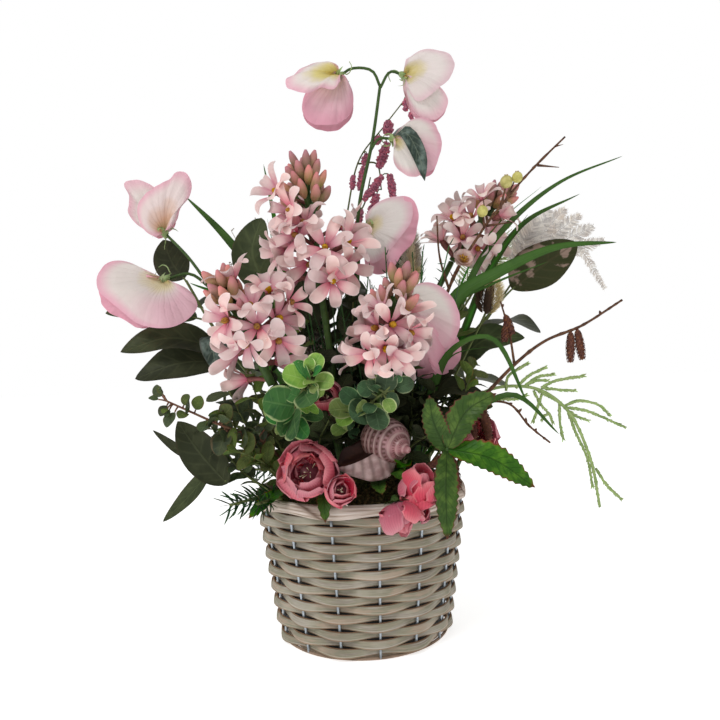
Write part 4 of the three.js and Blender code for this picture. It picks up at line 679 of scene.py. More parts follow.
class Draws:
    """Repeatable draws between low and high"""

    def __init__(self, seed):
        self.state = seed

    def __call__(self, low=0.0, high=1.0):
        self.state = (self.state * 1664525 + 1013904223) % 4294967296
        return low + (high - low) * self.state / 4294967296

    def vector(self, size=1.0):
        return np.array([self(-size, size) for _ in range(3)])


class Piece:
    """One mesh, gathered from grids of points"""

    def __init__(self, name, *looks):
        self.name = "visual_" + name
        self.looks = looks
        self.points = []
        self.quads = []
        self.uvs = []
        self.slots = []
        self.tints = []
        self.count = 0

    def grid(self, points, look=0, closed=False, tint=0.0, flow=(0.0, 1.0)):
        rows, cols = points.shape[:2]
        index = self.count + np.arange(rows * cols).reshape(rows, cols)
        if closed:
            index = np.hstack([index, index[:, :1]])
        width = index.shape[1]
        corners = [(slice(None, -1), slice(None, -1)), (slice(None, -1), slice(1, None)),
                   (slice(1, None), slice(1, None)), (slice(1, None), slice(None, -1))]
        u, v = np.meshgrid(np.linspace(0, 1, width), np.linspace(flow[0], flow[1], rows))
        uv = np.stack([u, v], axis=-1)
        quads = np.stack([index[c] for c in corners], axis=-1).reshape(-1, 4)
        self.points.append(points.reshape(-1, 3))
        self.quads.append(quads)
        self.uvs.append(np.stack([uv[c] for c in corners], axis=-2).reshape(-1, 2))
        self.slots.append(np.full(len(quads), look))
        self.tints.append(np.full(rows * cols, tint))
        self.count += rows * cols

    def tube(self, places, radii, look=0, rows=12, sides=8, tint=0.0, flow=(0.0, 1.0)):
        self.grid(tube(places, radii, rows, sides), look, True, tint, flow)

    def leaf(self, draw, look, *shape, **teeth):
        """A leaf, petal or hair with a tint of its own"""
        self.grid(sheet(*shape, **teeth), look, tint=draw(-1, 1))

    def build(self, slot, *nodes):
        points = np.vstack(self.points) * MM
        quads = np.vstack(self.quads)
        mesh = bpy.data.meshes.new(self.name)
        mesh.vertices.add(len(points))
        mesh.vertices.foreach_set("co", points.astype(np.float32).ravel())
        mesh.loops.add(4 * len(quads))
        mesh.loops.foreach_set("vertex_index", quads.astype(np.int32).ravel())
        mesh.polygons.add(len(quads))
        mesh.polygons.foreach_set("loop_start", np.arange(0, 4 * len(quads), 4, dtype=np.int32))
        mesh.polygons.foreach_set("material_index", np.concatenate(self.slots).astype(np.int32))
        mesh.update(calc_edges=True)
        mesh.shade_smooth()
        layer = mesh.uv_layers.new(name="UVMap")
        layer.data.foreach_set("uv", np.vstack(self.uvs).astype(np.float32).ravel())
        tint = mesh.attributes.new("tint", "FLOAT", "POINT")
        tint.data.foreach_set("value", np.concatenate(self.tints).astype(np.float32))
        for look in self.looks:
            mesh.materials.append(LOOKS[look])
        piece = bpy.data.objects.new(self.name, mesh)
        bpy.context.scene.collection.objects.link(piece)
        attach(piece, "root")
        if nodes:
            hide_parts(*nodes)


LOOKS = {}


class Look:
    """A node material, built up from small steps"""

    def __init__(self, name):
        self.material = bpy.data.materials.new(name)
        LOOKS[name] = self.material
        self.material.use_nodes = True
        self.tree = self.material.node_tree
        self.tree.nodes.clear()
        place = self.node("ShaderNodeTexCoord")
        self.object_place = place.outputs["Object"]
        split = self.node("ShaderNodeSeparateXYZ")
        self.tree.links.new(place.outputs["UV"], split.inputs[0])
        self.u = split.outputs[0]
        self.v = split.outputs[1]
        tint = self.node("ShaderNodeAttribute")
        tint.attribute_name = "tint"
        self.tint = tint.outputs["Fac"]

    def node(self, kind, **settings):
        made = self.tree.nodes.new(kind)
        for key, value in settings.items():
            setattr(made, key, value)
        return made

    def put(self, socket, value):
        if hasattr(value, "is_output"):
            self.tree.links.new(value, socket)
        elif isinstance(value, (tuple, list)) and len(value) == 3 and socket.type == "RGBA":
            socket.default_value = (*value, 1.0)
        else:
            socket.default_value = value

    def math(self, operation, first, second):
        made = self.node("ShaderNodeMath", operation=operation)
        self.put(made.inputs[0], first)
        self.put(made.inputs[1], second)
        return made.outputs[0]

    def plus(self, first, second):
        return self.math("ADD", first, second)

    def times(self, first, second):
        return self.math("MULTIPLY", first, second)

    def flip(self, value):
        return self.math("SUBTRACT", 1.0, value)

    def spread(self, first, second):
        """A place in a noise from two values"""
        made = self.node("ShaderNodeCombineXYZ")
        self.put(made.inputs[0], first)
        self.put(made.inputs[1], second)
        return made.outputs[0]

    def paint(self, shade, code, share, strength):
        """Lays a colour over another where a share is high"""
        return self.mix(self.times(share, strength), shade, srgb(code))

    def band(self, value, low, high):
        """0 below low, 1 above high, smooth between"""
        made = self.node("ShaderNodeMapRange", interpolation_type="SMOOTHSTEP")
        for socket, setting in zip(made.inputs, (value, low, high, 0.0, 1.0)):
            self.put(socket, setting)
        return made.outputs[0]

    def mix(self, share, first, second, blend="MIX"):
        made = self.node("ShaderNodeMix", data_type="RGBA", blend_type=blend)
        self.put(made.inputs[0], share)
        self.put(made.inputs[6], first)
        self.put(made.inputs[7], second)
        return made.outputs[2]

    def noise(self, scale, detail=3.0, stretch=None, source=None):
        made = self.node("ShaderNodeTexNoise")
        place = self.object_place if source is None else source
        if stretch is not None:
            mapping = self.node("ShaderNodeMapping")
            self.put(mapping.inputs[0], place)
            self.put(mapping.inputs["Scale"], stretch)
            place = mapping.outputs[0]
        self.put(made.inputs["Vector"], place)
        self.put(made.inputs["Scale"], scale)
        self.put(made.inputs["Detail"], detail)
        return made.outputs[0]

    def across(self):
        """0 on the rib of a leaf or petal, 1 at its edges"""
        return self.math("ABSOLUTE", self.plus(self.times(self.u, 2.0), -1.0), 0.0)

    def ramp(self, value, stops):
        stops = list(stops)
        made = self.node("ShaderNodeValToRGB")
        elements = made.color_ramp.elements
        while len(elements) < len(stops):
            elements.new(0.5)
        for element, (place, shade) in zip(elements, stops):
            element.position = place
            element.color = (*shade, 1.0)
        self.put(made.inputs[0], value)
        return made.outputs[0]

    def wave(self, value, count, sharp=1.0):
        """Bands along a value: 1 on each of the count lines, 0 between them"""
        turned = self.math("COSINE", self.times(value, 2 * math.pi * count), 0.0)
        raised = self.plus(self.times(turned, 0.5), 0.5)
        return self.math("POWER", raised, sharp)

    def vary(self, shade, hue=0.015, value=0.16, saturation=0.12):
        """Shifts a colour by the piece's own tint"""
        made = self.node("ShaderNodeHueSaturation")
        shares = (("Hue", hue, 0.5), ("Saturation", saturation, 1.0), ("Value", value, 1.0))
        for name, reach, middle in shares:
            self.put(made.inputs[name], self.plus(self.times(self.tint, reach), middle))
        self.put(made.inputs["Color"], shade)
        return made.outputs[0]

    def finish(self, shade, roughness=0.6, translucent=0.0, height=None, depth=0.0003, metallic=0.0,
               sheen=0.0, specular=0.25):
        surface = self.node("ShaderNodeBsdfPrincipled")
        self.put(surface.inputs["Base Color"], shade)
        self.put(surface.inputs["Roughness"], roughness)
        self.put(surface.inputs["Metallic"], metallic)
        self.put(surface.inputs["Specular IOR Level"], specular)
        self.put(surface.inputs["Sheen Weight"], sheen)
        if height is not None:
            bump = self.node("ShaderNodeBump")
            self.put(bump.inputs["Height"], height)
            self.put(bump.inputs["Distance"], depth)
            self.put(bump.inputs["Strength"], 0.7)
            self.put(surface.inputs["Normal"], bump.outputs[0])
        result = surface.outputs[0]
        if translucent > 0:
            through = self.node("ShaderNodeBsdfTranslucent")
            self.put(through.inputs["Color"], shade)
            blend = self.node("ShaderNodeMixShader")
            self.put(blend.inputs[0], translucent)
            self.put(blend.inputs[1], result)
            self.put(blend.inputs[2], through.outputs[0])
            result = blend.outputs[0]
        output = self.node("ShaderNodeOutputMaterial")
        self.put(output.inputs["Surface"], result)


def srgb(code):
    """A linear colour from its six-digit web code"""
    parts = [int(code[i:i + 2], 16) / 255 for i in (0, 2, 4)]
    return tuple(c / 12.92 if c <= 0.04045 else ((c + 0.055) / 1.055) ** 2.4 for c in parts)


def shades(codes):
    return [srgb(code) for code in codes.split()]


def petal_look(name, codes, lines, vein_share, edge_share, translucent, stops, edge_from=0.62, vein_end=0.6,
               blush=None):
    """A cloth petal: codes for its root, middle, tip, edge and veins, mingled with soft blotches"""
    root, middle, tip, edge, vein = shades(codes)
    look = Look(name)
    blotch = look.noise(120, 4)
    flow = look.plus(look.v, look.times(look.plus(blotch, -0.5), 0.3))
    shade = look.ramp(flow, list(zip(stops, (root, middle, tip))))
    border = look.math("MAXIMUM", look.band(look.across(), edge_from, 1.0), look.band(look.v, 0.7, 1.0))
    if blush is not None:
        aside = look.times(look.band(look.u, *blush), look.band(look.v, 0.2, 0.6))
        border = look.math("MAXIMUM", border, look.times(aside, 0.85))
    shade = look.mix(look.times(border, edge_share), shade, edge)
    ribs = look.wave(look.plus(look.u, look.times(blotch, 0.03)), lines, 5.0)
    fade = look.times(ribs, look.flip(look.band(look.v, vein_end - 0.35, vein_end)))
    shade = look.mix(look.times(fade, vein_share), shade, vein)
    shade = look.vary(shade, 0.006)
    height = look.plus(ribs, look.times(blotch, 2.5))
    height = look.plus(height, look.times(look.noise(55, 3), 14.0))
    look.finish(shade, 0.62, translucent, height, 0.0002, sheen=0.15)


def leaf_look(name, codes, edge_from, edge_share=0.85, veins=6, vein_share=0.35, roughness=0.5,
              translucent=0.15, patch_scale=120, patch_share=0.7, specular=0.1, patch_band=(0.42, 0.66)):
    """A cloth leaf: codes for its face, patches, ribs and edge, with a midrib and slanted side veins"""
    face, patch, rib, edge = shades(codes)
    look = Look(name)
    blotch = look.noise(patch_scale, 5)
    shade = look.mix(look.times(look.band(blotch, *patch_band), patch_share), face, patch)
    across = look.across()
    slant = look.math("SUBTRACT", look.v, look.times(across, 0.16))
    side_veins = look.times(look.wave(slant, veins, 8.0), look.flip(look.band(across, 0.6, 1.0)))
    midrib = look.flip(look.band(across, 0.02, 0.09))
    ribs = look.math("MAXIMUM", look.times(side_veins, 0.55), midrib)
    shade = look.mix(look.times(ribs, vein_share), shade, rib)
    uneven = look.plus(across, look.times(look.plus(blotch, -0.5), 0.5))
    border = look.math("MAXIMUM", look.band(uneven, edge_from, 1.0), look.band(look.v, 0.93, 1.0))
    shade = look.mix(look.times(border, edge_share), shade, edge)
    shade = look.vary(shade, hue=0.02, value=0.28)
    height = look.plus(ribs, look.times(blotch, 1.2))
    look.finish(shade, roughness, translucent, height, 0.0004, specular=specular)


def mottled_look(name, codes, scale, share=0.7, roughness=0.6, stretch=None, depth=0.0003, tip_from=0.5,
                 sheen=0.0, translucent=0.0, metallic=0.0):
    """A surface of two mingled colours, with a third towards the far end where a third code is given"""
    main, other, *tip = shades(codes)
    look = Look(name)
    blotch = look.noise(scale, 6, stretch)
    shade = look.mix(look.times(look.band(blotch, 0.38, 0.66), share), main, other)
    if tip:
        shade = look.mix(look.band(look.v, tip_from, 1.0), shade, tip[0])
    shade = look.vary(shade, value=0.25)
    look.finish(shade, roughness, translucent, blotch, depth, metallic, sheen)


def willow_look():
    """Whitewashed willow: long fibres, brown bark and a painted shadow line at the upper edge, a paler lower
    edge
    """
    look = Look("willow")
    fibre = look.noise(2.0, 8, source=look.spread(look.times(look.v, 15.0), look.times(look.u, 10.0)))
    run = look.noise(1.0, 3, source=look.spread(look.times(look.v, 14.0), look.times(look.u, 3.0)))
    shade = look.ramp(fibre, zip((0.28, 0.42, 0.58, 0.74), shades("766D61 8E8679 A0988B BAB3A7")))
    shade = look.paint(shade, "8C8A72", look.band(run, 0.4, 0.5), 0.6)
    shade = look.paint(shade, "B49C8A", look.band(run, 0.52, 0.62), 0.6)
    cloud = look.noise(24, 3)
    shade = look.paint(shade, "BDB6A8", look.band(cloud, 0.5, 0.68), 0.4)
    shade = look.paint(shade, "7E7768", look.band(cloud, 0.48, 0.32), 0.4)
    bark = look.times(look.band(look.u, 0.385, 0.41), look.flip(look.band(look.u, 0.55, 0.58)))
    shade = look.paint(shade, "A07A5C", bark, 0.9)
    # Painted shadow: a dark line along the top of the strip's outer face, just under the bark
    dark = look.times(look.band(look.u, 0.345, 0.375), look.flip(look.band(look.u, 0.39, 0.42)))
    shade = look.paint(shade, "5A4230", dark, 0.75)
    shade = look.paint(shade, "8F6E54", look.flip(look.band(look.u, 0.03, 0.055)), 0.6)
    above = look.times(look.band(look.u, 0.05, 0.065), look.flip(look.band(look.u, 0.08, 0.1)))
    shade = look.paint(shade, "CFC6B8", above, 0.35)
    look.finish(look.vary(shade, value=0.2), 0.75, 0.0, fibre, 0.0008, specular=0.15)


def rim_look():
    """Pale willow border: streaks that run along it, and painted shade in the gaps where one strip dives
    under the next
    """
    look = Look("rim")
    slant = look.plus(look.times(look.u, WIRES), look.times(look.v, 2.0))
    streak = look.noise(1.6, 6, source=look.spread(look.times(slant, 0.8), look.times(look.v, 16.0)))
    shade = look.ramp(streak, zip((0.3, 0.42, 0.56, 0.7), shades("8C7868 B3A294 CDBFB3 DFD6CD")))
    # Painted shade: dark lines where one strip dives under the next
    gap_shade = look.wave(look.plus(look.times(slant, 0.5), look.times(streak, 0.12)), 1, 60)
    shade = look.paint(shade, "5E4636", gap_shade, 0.75)
    look.finish(look.vary(shade), 0.75, 0.0, streak, 0.0008, specular=0.15)


def shell_look():
    """Mauve shell: fine whorl lines that carry brown dashes, browner towards the mouth"""
    look = Look("shell")
    whorls = look.wave(look.v, 12, 1.0)
    dash = look.wave(look.plus(look.u, look.times(look.v, 0.1)), 24, 1.0)
    cloud = look.noise(90, 4)
    shade = look.mix(look.band(cloud, 0.4, 0.65), *shades("7C5A5A A27E7F"))
    shade = look.paint(shade, "6E4A38", look.flip(look.band(look.v, 0.25, 0.6)), 0.5)
    marks = look.times(look.band(whorls, 0.55, 0.8), look.band(dash, 0.4, 0.6))
    shade = look.paint(shade, "4A2A1F", marks, 0.8)
    shade = look.paint(shade, "D8C2B8", look.flip(look.band(whorls, 0.05, 0.3)), 0.3)
    blush = look.times(look.band(look.v, 0.6, 0.78), look.band(cloud, 0.35, 0.6))
    shade = look.paint(shade, "9C5A60", blush, 0.45)
    look.finish(shade, 0.35, 0.0, whorls, 0.0006, specular=0.4)


def shell_lip_look():
    """The smooth lower lip with its broad greyish bands"""
    look = Look("shell_lip")
    cloud = look.noise(160, 4)
    shade = look.mix(look.band(cloud, 0.35, 0.65), *shades("927674 B39A96"))
    bands = look.wave(look.plus(look.v, look.times(look.u, 0.12)), 7, 2.0)
    shade = look.paint(shade, "665049", bands, 0.65)
    look.finish(shade, 0.4, 0.0, cloud, 0.0005, specular=0.4)


def moss_look():
    """Dry brown moss with dull green clouds"""
    look = Look("moss")
    fine = look.noise(420, 8)
    cloud = look.noise(60, 4)
    shade = look.ramp(fine, zip((0.3, 0.48, 0.6, 0.75), shades("1B1810 3A3320 574A2E 7A6B47")))
    shade = look.paint(shade, "3F4A26", look.band(cloud, 0.45, 0.6), 0.5)
    look.finish(look.vary(shade, value=0.4), 0.9, 0.0, fine, 0.002, specular=0.1)


def make_basket_looks():
    willow_look()
    rim_look()
    moss_look()
    mottled_look("wire", "AEB6BC 7D868E", 500, share=0.6, roughness=0.34, metallic=0.75)
    mottled_look("board", "9A8D7B 7C6F5D", 80, roughness=0.8, stretch=(1.0, 8.0, 1.0))
    mottled_look("liner", "2B2723 1A1816", 60, share=0.6, roughness=0.55)
    mottled_look("foam", "3F4C2F 2F3A22", 900, roughness=0.95)
    mottled_look("bark_hoop", "9B8471 6E5A49", 120, roughness=0.8)


def make_flower_looks():
    shell_look()
    shell_lip_look()
    # Inside of the mouth: the inner wall's own dark reddish brown, darkened further as painted shade of the
    # hollow
    mottled_look("shell_mouth", "2A1510 45251B", 120, share=0.6)
    mottled_look("stem", "425C2A 2E461F", 200, roughness=0.5)
    mottled_look("calyx", "A9BC84 7E9A5C", 260, roughness=0.55, translucent=0.1)
    # Funnels of the florets: their own pinkish brown, darkened as painted shade in the gaps between the
    # florets
    mottled_look("star_tube", "8C5450 5E3F35", 200)
    mottled_look("star_centre", "C08F2E 7D5A1E", 700, share=0.8, roughness=0.8, depth=0.0006)
    mottled_look("bud", "9C8A5C BE8478 DB8C93", 160, share=0.6, tip_from=0.3, translucent=0.1)
    petal_look("star_petal", "BA3E64 DB909E E8C8C4 F3E5E0 CA6682", lines=1, vein_share=0.75, edge_share=0.6,
               translucent=0.06, stops=(0.08, 0.3, 0.58), edge_from=0.78, vein_end=0.7)
    petal_look("star_petal_pale", "C4557A E3A8B0 EAD4CD F3E9E3 D27F95", lines=1, vein_share=0.65,
               edge_share=0.6, translucent=0.12, stops=(0.1, 0.32, 0.64), edge_from=0.76, vein_end=0.8)
    petal_look("small_petal", "A8762E D9A98E E6CFC6 E3B4B4 C08A78", lines=9, vein_share=0.4, edge_share=0.6,
               translucent=0.15, stops=(0.1, 0.35, 0.7))
    petal_look("cream_petal", "D9BF5E EADFA8 EBE5DE EAB0C1 B9974F", lines=30, vein_share=0.5, edge_share=0.75,
               translucent=0.2, stops=(0.02, 0.2, 0.42), edge_from=0.78, vein_end=0.55)
    petal_look("blush_petal", "DCC878 EAE0BC E8E0D9 E7A3B9 C79A86", lines=26, vein_share=0.35, edge_share=0.8,
               translucent=0.2, stops=(0.0, 0.2, 0.42), edge_from=0.8, vein_end=0.5, blush=(0.35, 0.7))
    petal_look("pouch_petal", "EADFCF EAD0CE E9B7C3 E39DB1 CF8CA0", lines=20, vein_share=0.2, edge_share=0.7,
               translucent=0.2, stops=(0.0, 0.3, 0.8), edge_from=0.8, vein_end=0.9)
    petal_look("hood_petal", "E2CE55 EFE394 EEE4DD EBAFC1 CDAE52", lines=20, vein_share=0.2, edge_share=0.85,
               translucent=0.2, stops=(0.1, 0.42, 0.7), edge_from=0.72, vein_end=0.5)
    petal_look("throat_petal", "D2B84E E8DA90 EEE3DE EABCC9 A07C3C", lines=34, vein_share=0.6, edge_share=0.6,
               translucent=0.2, stops=(0.05, 0.26, 0.52), edge_from=0.84)
    petal_look("tulip_petal", "A89258 D6AE94 E6D5D2 E8ABBD B98A78", lines=14, vein_share=0.2, edge_share=0.8,
               translucent=0.2, stops=(0.0, 0.25, 0.6), edge_from=0.75)
    petal_look("coral_petal", "8E1A38 C54A63 D66B7B EBA8AC A03850", lines=13, vein_share=0.25,
               edge_share=0.55, translucent=0.15, stops=(0.0, 0.35, 0.85), edge_from=0.86, vein_end=1.1)
    petal_look("coral_inner", "7E1526 B93B4E D96C7A EFA9A9 9E2C40", lines=11, vein_share=0.25, edge_share=0.5,
               translucent=0.15, stops=(0.0, 0.35, 0.8), edge_from=0.8)


def make_leaf_looks():
    leaf_look("dark_leaf", "3A412C 52593C 646D4A 54493A", 0.9, edge_share=0.5, veins=8, vein_share=0.3,
              translucent=0.12, patch_scale=70, patch_share=0.55)
    leaf_look("mottled_leaf", "36433C 76877F 87937F 55473C", 0.9, edge_share=0.5, veins=9, vein_share=0.45,
              translucent=0.12, patch_scale=110, patch_share=0.9)
    leaf_look("pale_leaf", "404827 B59C86 5A5535 5A4E3A", 0.88, edge_share=0.4, veins=9, vein_share=0.45,
              translucent=0.12, patch_scale=48, patch_share=0.9, patch_band=(0.56, 0.62))
    leaf_look("shaded_eucalyptus", "3E523A 4D6848 5F7A58 9AAA7E", 0.88, patch_scale=110)
    leaf_look("light_eucalyptus", "8EAA58 6A9148 AAC477 D3DDA0", 0.8, patch_scale=110)
    leaf_look("eucalyptus", "47793F 2F5A38 6F9A5A BBCE90", 0.84, vein_share=0.4, patch_scale=100)
    leaf_look("grey_leaf", "4F5A3E 3A4638 6E7A56 887250", 0.85, edge_share=0.55, veins=5, roughness=0.55)
    leaf_look("olive_leaf", "5F6E38 4A5B34 8B9758 7E5B37", 0.84, edge_share=0.6)
    leaf_look("serrated", "35621A 5F8E28 1E400D 7A3626", 0.88, edge_share=0.9, veins=12, vein_share=0.6,
              roughness=0.38, translucent=0.06, patch_scale=130, specular=0.16)
    leaf_look("grass", "3A6A22 2B5220 639648 365F26", 0.8, edge_share=0.3, veins=0, vein_share=0.4,
              roughness=0.45, patch_scale=60)
    mottled_look("needle", "264524 1A3120 3B6230", 160, roughness=0.45, tip_from=0.4)
    mottled_look("olive_stem", "66703F 4A5230", 200, share=0.6)
    mottled_look("pale_green", "A9BE7C 7F9C58", 160, share=0.6, translucent=0.15)


def make_twig_and_seed_looks():
    mottled_look("twig", "4C3226 7A543D", 300, share=0.6, roughness=0.7, depth=0.0008)
    mottled_look("red_twig", "6B4638 8C6A4E", 300, share=0.6, roughness=0.65)
    mottled_look("dry_twig", "CFC8BE A79C90", 300, share=0.6, roughness=0.8)
    mottled_look("catkin", "74493A 502F25", 500, roughness=0.8, depth=0.0008)
    mottled_look("berry", "C8BF7A A09854 7A5F3A", 260, share=0.6, roughness=0.45, tip_from=0.8)
    mottled_look("fine_hair", "D8C795 B89E63 EFE6CB", 120, roughness=0.8, tip_from=0.3, translucent=0.2)
    mottled_look("silver_hair", "B9AF9C 8D7F6A E6E1D6", 120, share=0.6, roughness=0.75, tip_from=0.3,
                 translucent=0.2)
    mottled_look("dark_hair", "4A3627 2A1E17 8C7550", 200, share=0.6, roughness=0.7, tip_from=0.8)
    mottled_look("magenta", "C27389 8A3D5A", 420, share=0.75, roughness=0.8, depth=0.001, sheen=0.2)
    mottled_look("statice", "B09F94 6E5D53 C6BBB1", 420, share=0.8, roughness=0.85, translucent=0.15)
    mottled_look("feather_green", "B9C78F 93A86A", 160, share=0.6, roughness=0.7, translucent=0.3)
    mottled_look("feather_white", "E6E2DD DACDC2", 60, share=0.6, roughness=0.7, translucent=0.3)


def set_camera():
    """The camera of the photo"""
    forward = Vector((math.sin(CAMERA_YAW) * math.cos(CAMERA_PITCH),
                      math.cos(CAMERA_YAW) * math.cos(CAMERA_PITCH), math.sin(CAMERA_PITCH)))
    right = forward.cross(Vector(UP)).normalized()
    upward = right.cross(forward)
    across = right * math.cos(CAMERA_ROLL) + upward * math.sin(CAMERA_ROLL)
    above = upward * math.cos(CAMERA_ROLL) - right * math.sin(CAMERA_ROLL)
    lens = bpy.data.cameras.new("camera")
    lens.sensor_width = SENSOR
    lens.lens = LENS_PIXELS * SENSOR / PHOTO
    lens.clip_start = 0.01
    camera = bpy.data.objects.new("camera", lens)
    turned = Matrix((across, above, -forward)).transposed().to_4x4()
    camera.matrix_world = Matrix.Translation(Vector(CAMERA_PLACE) * MM) @ turned
    scene = bpy.context.scene
    scene.collection.objects.link(camera)
    scene.camera = camera
    scene.render.resolution_x = PHOTO
    scene.render.resolution_y = PHOTO
    scene.view_settings.view_transform = "Standard"


def set_lights():
    """A white backdrop that shines softly, and three round studio lamps"""
    world = bpy.data.worlds.new("studio")
    world.use_nodes = True
    backdrop = world.node_tree.nodes["Background"]
    backdrop.inputs[0].default_value = (1.0, 1.0, 1.0, 1.0)
    seen = world.node_tree.nodes.new("ShaderNodeLightPath")
    strength = world.node_tree.nodes.new("ShaderNodeMapRange")
    strength.inputs["To Min"].default_value = WORLD_LIGHT
    strength.inputs["To Max"].default_value = BACKDROP_LIGHT
    world.node_tree.links.new(seen.outputs["Is Camera Ray"], strength.inputs["Value"])
    world.node_tree.links.new(strength.outputs[0], backdrop.inputs[1])
    bpy.context.scene.world = world
    for name, place, size, power in LIGHTS:
        lamp = bpy.data.lights.new(name, "AREA")
        lamp.shape = "DISK"
        lamp.size = size
        lamp.energy = power
        shine = bpy.data.objects.new(name, lamp)
        shine.location = place
        aim = Vector(LIGHT_AIM) - Vector(place)
        shine.rotation_euler = aim.to_track_quat("-Z", "Y").to_euler()
        bpy.context.scene.collection.objects.link(shine)


def lay_floor():
    """A pale floor that glows a little, so that it meets the backdrop without an edge"""
    side = FLOOR_SIZE / 2
    mesh = bpy.data.meshes.new("floor")
    corners = [(-side, -side, 0), (side, -side, 0), (side, side, 0), (-side, side, 0)]
    mesh.from_pydata(corners, [], [(0, 1, 2, 3)])
    look = Look("floor")
    shade = look.mix(look.noise(3, 2), *shades("FBFBFB F4F4F4"))
    look.finish(shade, 0.9)
    surface = look.tree.nodes["Principled BSDF"]
    look.put(surface.inputs["Emission Color"], shade)
    look.put(surface.inputs["Emission Strength"], FLOOR_GLOW)
    mesh.materials.append(look.material)
    floor = bpy.data.objects.new("floor", mesh)
    bpy.context.scene.collection.objects.link(floor)


def smooth_noise(values, seed):
    """A slow repeatable wobble between about -1 and 1"""
    draw = Draws(seed)
    total = np.zeros_like(values)
    for _ in range(5):
        total += np.sin(values * draw(0.4, 2.6) + draw(0, 6.28)) * draw(0.3, 0.6)
    return total / 1.6


def dress_board():
    """Board, liner and foam are plain bodies that only get their materials"""
    for node, look in (("base_board", "board"), ("liner", "liner"), ("foam_block", "foam")):
        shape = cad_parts[node]
        if not shape.material_slots:
            shape.data.materials.append(LOOKS[look])
        for place in shape.material_slots:
            place.material = LOOKS[look]


def make_wires():
    """Upright wires on a hoop of bark-covered wire"""
    piece = Piece("wires", "wire", "bark_hoop")
    for k in range(WIRES):
        angle = WIRE_PHASE + 2 * math.pi * k / WIRES
        heights = np.linspace(WIRE_FOOT + WIRE_RADIUS, WIRE_TOP - 0.4, 5)
        places = polar(basket_radius(heights), angle, heights)
        piece.tube(places, [WIRE_RADIUS * 0.96], rows=14, sides=10, tint=0.3 * math.sin(3 * k), flow=(0, 12))
    turn = np.linspace(0, 2 * math.pi, 121)[:-1]
    section = np.linspace(0, 2 * math.pi, 10, endpoint=False)
    radius = FOOT_RADIUS + WIRE_RADIUS * np.cos(section)
    height = WIRE_FOOT + WIRE_RADIUS + WIRE_RADIUS * np.sin(section)
    hoop = polar(radius[:, None], turn[None, :], height[:, None])
    piece.grid(np.vstack([hoop, hoop[:1]]), 1, True)
    piece.build("wire", "wire_frame")


def row_of(steps):
    """How many rows up the strip lies after a number of wires, climbing at the back"""
    turns = steps / WIRES
    whole = np.floor(turns)
    climb = np.clip((turns - whole - 0.86) / 0.14, 0, 1)
    climb = climb * climb * (3 - 2 * climb)
    return np.minimum(whole + climb, WEAVE_TURNS - 1)


def make_weave():
    """The strip winds round in front of one wire and behind the next, tall and bellied in front"""
    piece = Piece("weave", "willow")
    steps = np.linspace(0, WIRES * WEAVE_TURNS, WIRES * WEAVE_TURNS * STEPS_PER_WIRE + 1)
    angle = WIRE_PHASE + math.pi + 2 * math.pi * (steps + 0.5) / WIRES
    swing = np.cos(math.pi * steps)
    low = WEAVE_BOTTOM + WEAVE_PITCH * row_of(steps)
    front = np.clip(0.5 + 0.5 * swing, 0, 1)
    height = STRIP_HEIGHT + 0.15 - 0.75 * (1 - front) ** 2 + STRIP_BELLY * front ** 2
    height = height + 0.3 * smooth_noise(steps, 3)
    middle = low + STRIP_HEIGHT / 2 + 0.35 * smooth_noise(steps * 1.3, 8) * front + 0.35 * (1 - front)
    radius = basket_radius(middle) + STRIP_SWING * 1.12 * swing + 0.15 * smooth_noise(steps * 2, 12)
    face = np.linspace(-0.47, 0.47, 7)
    share = np.concatenate([face, [0.5, 0.5], face[::-1][:6] * 0.98, [-0.5]])
    crown = 0.3 * (1 - (2 * face) ** 2)
    half = STRIP_THICKNESS / 2
    out = np.concatenate([half + crown - 0.1, [half * 0.7, -half * 0.7], np.full(6, -half), [0.0]])
    lean = 0.13 * np.maximum(swing, 0.2)
    rings = polar(
        radius[:, None] + out[None, :] - lean[:, None] * share[None, :] * height[:, None],
        angle[:, None],
        middle[:, None] + share[None, :] * height[:, None],
    )
    first, last = (ring.mean(axis=0) + (ring - ring.mean(axis=0)) * 0.02 for ring in (rings[0], rings[-1]))
    piece.grid(np.concatenate([[first], rings, [last]]), closed=True, flow=(0.0, WEAVE_TURNS))
    piece.build("willow", "willow_weave")


def make_rim():
    """A wide pale strip bent over the edge, its lower edge dipping where the top row passes behind"""
    piece = Piece("rim", "rim")
    steps = np.linspace(WIRES * (WEAVE_TURNS - 1), WIRES * WEAVE_TURNS, RIM_STEPS + 1)[:-1]
    angle = WIRE_PHASE + math.pi + 2 * math.pi * (steps + 0.5) / WIRES
    seam = np.clip(np.minimum(steps - steps[0], steps[0] + WIRES - steps), 0, 1)
    dip = (0.5 - 0.5 * np.cos(math.pi * steps)) * seam
    low = RIM_LOW + 0.7 - 2.9 * dip
    wobble = 0.25 * smooth_noise(steps * 1.7, 21) * seam
    out, rise = np.array(RIM_SECTION).T
    rings = polar(
        RIM_RADIUS + out[:, None] + wobble[None, :],
        angle[None, :],
        low[None, :] + rise[:, None] * (RIM_CREST - low[None, :] + 0.5 * wobble[None, :]),
    )
    piece.grid(np.vstack([rings, rings[:1]]), closed=True)
    piece.build("rim", "rim_border")


def moss_height(x, y):
    share = np.minimum(1, np.hypot(x, y) / MOSS_RADIUS)
    lumps = 2.2 * np.sin(x * 0.11 + 1) * np.cos(y * 0.13) * (1 - share ** 4)
    return MOSS_EDGE + MOSS_RISE * (1 - share * share) ** 0.85 + lumps


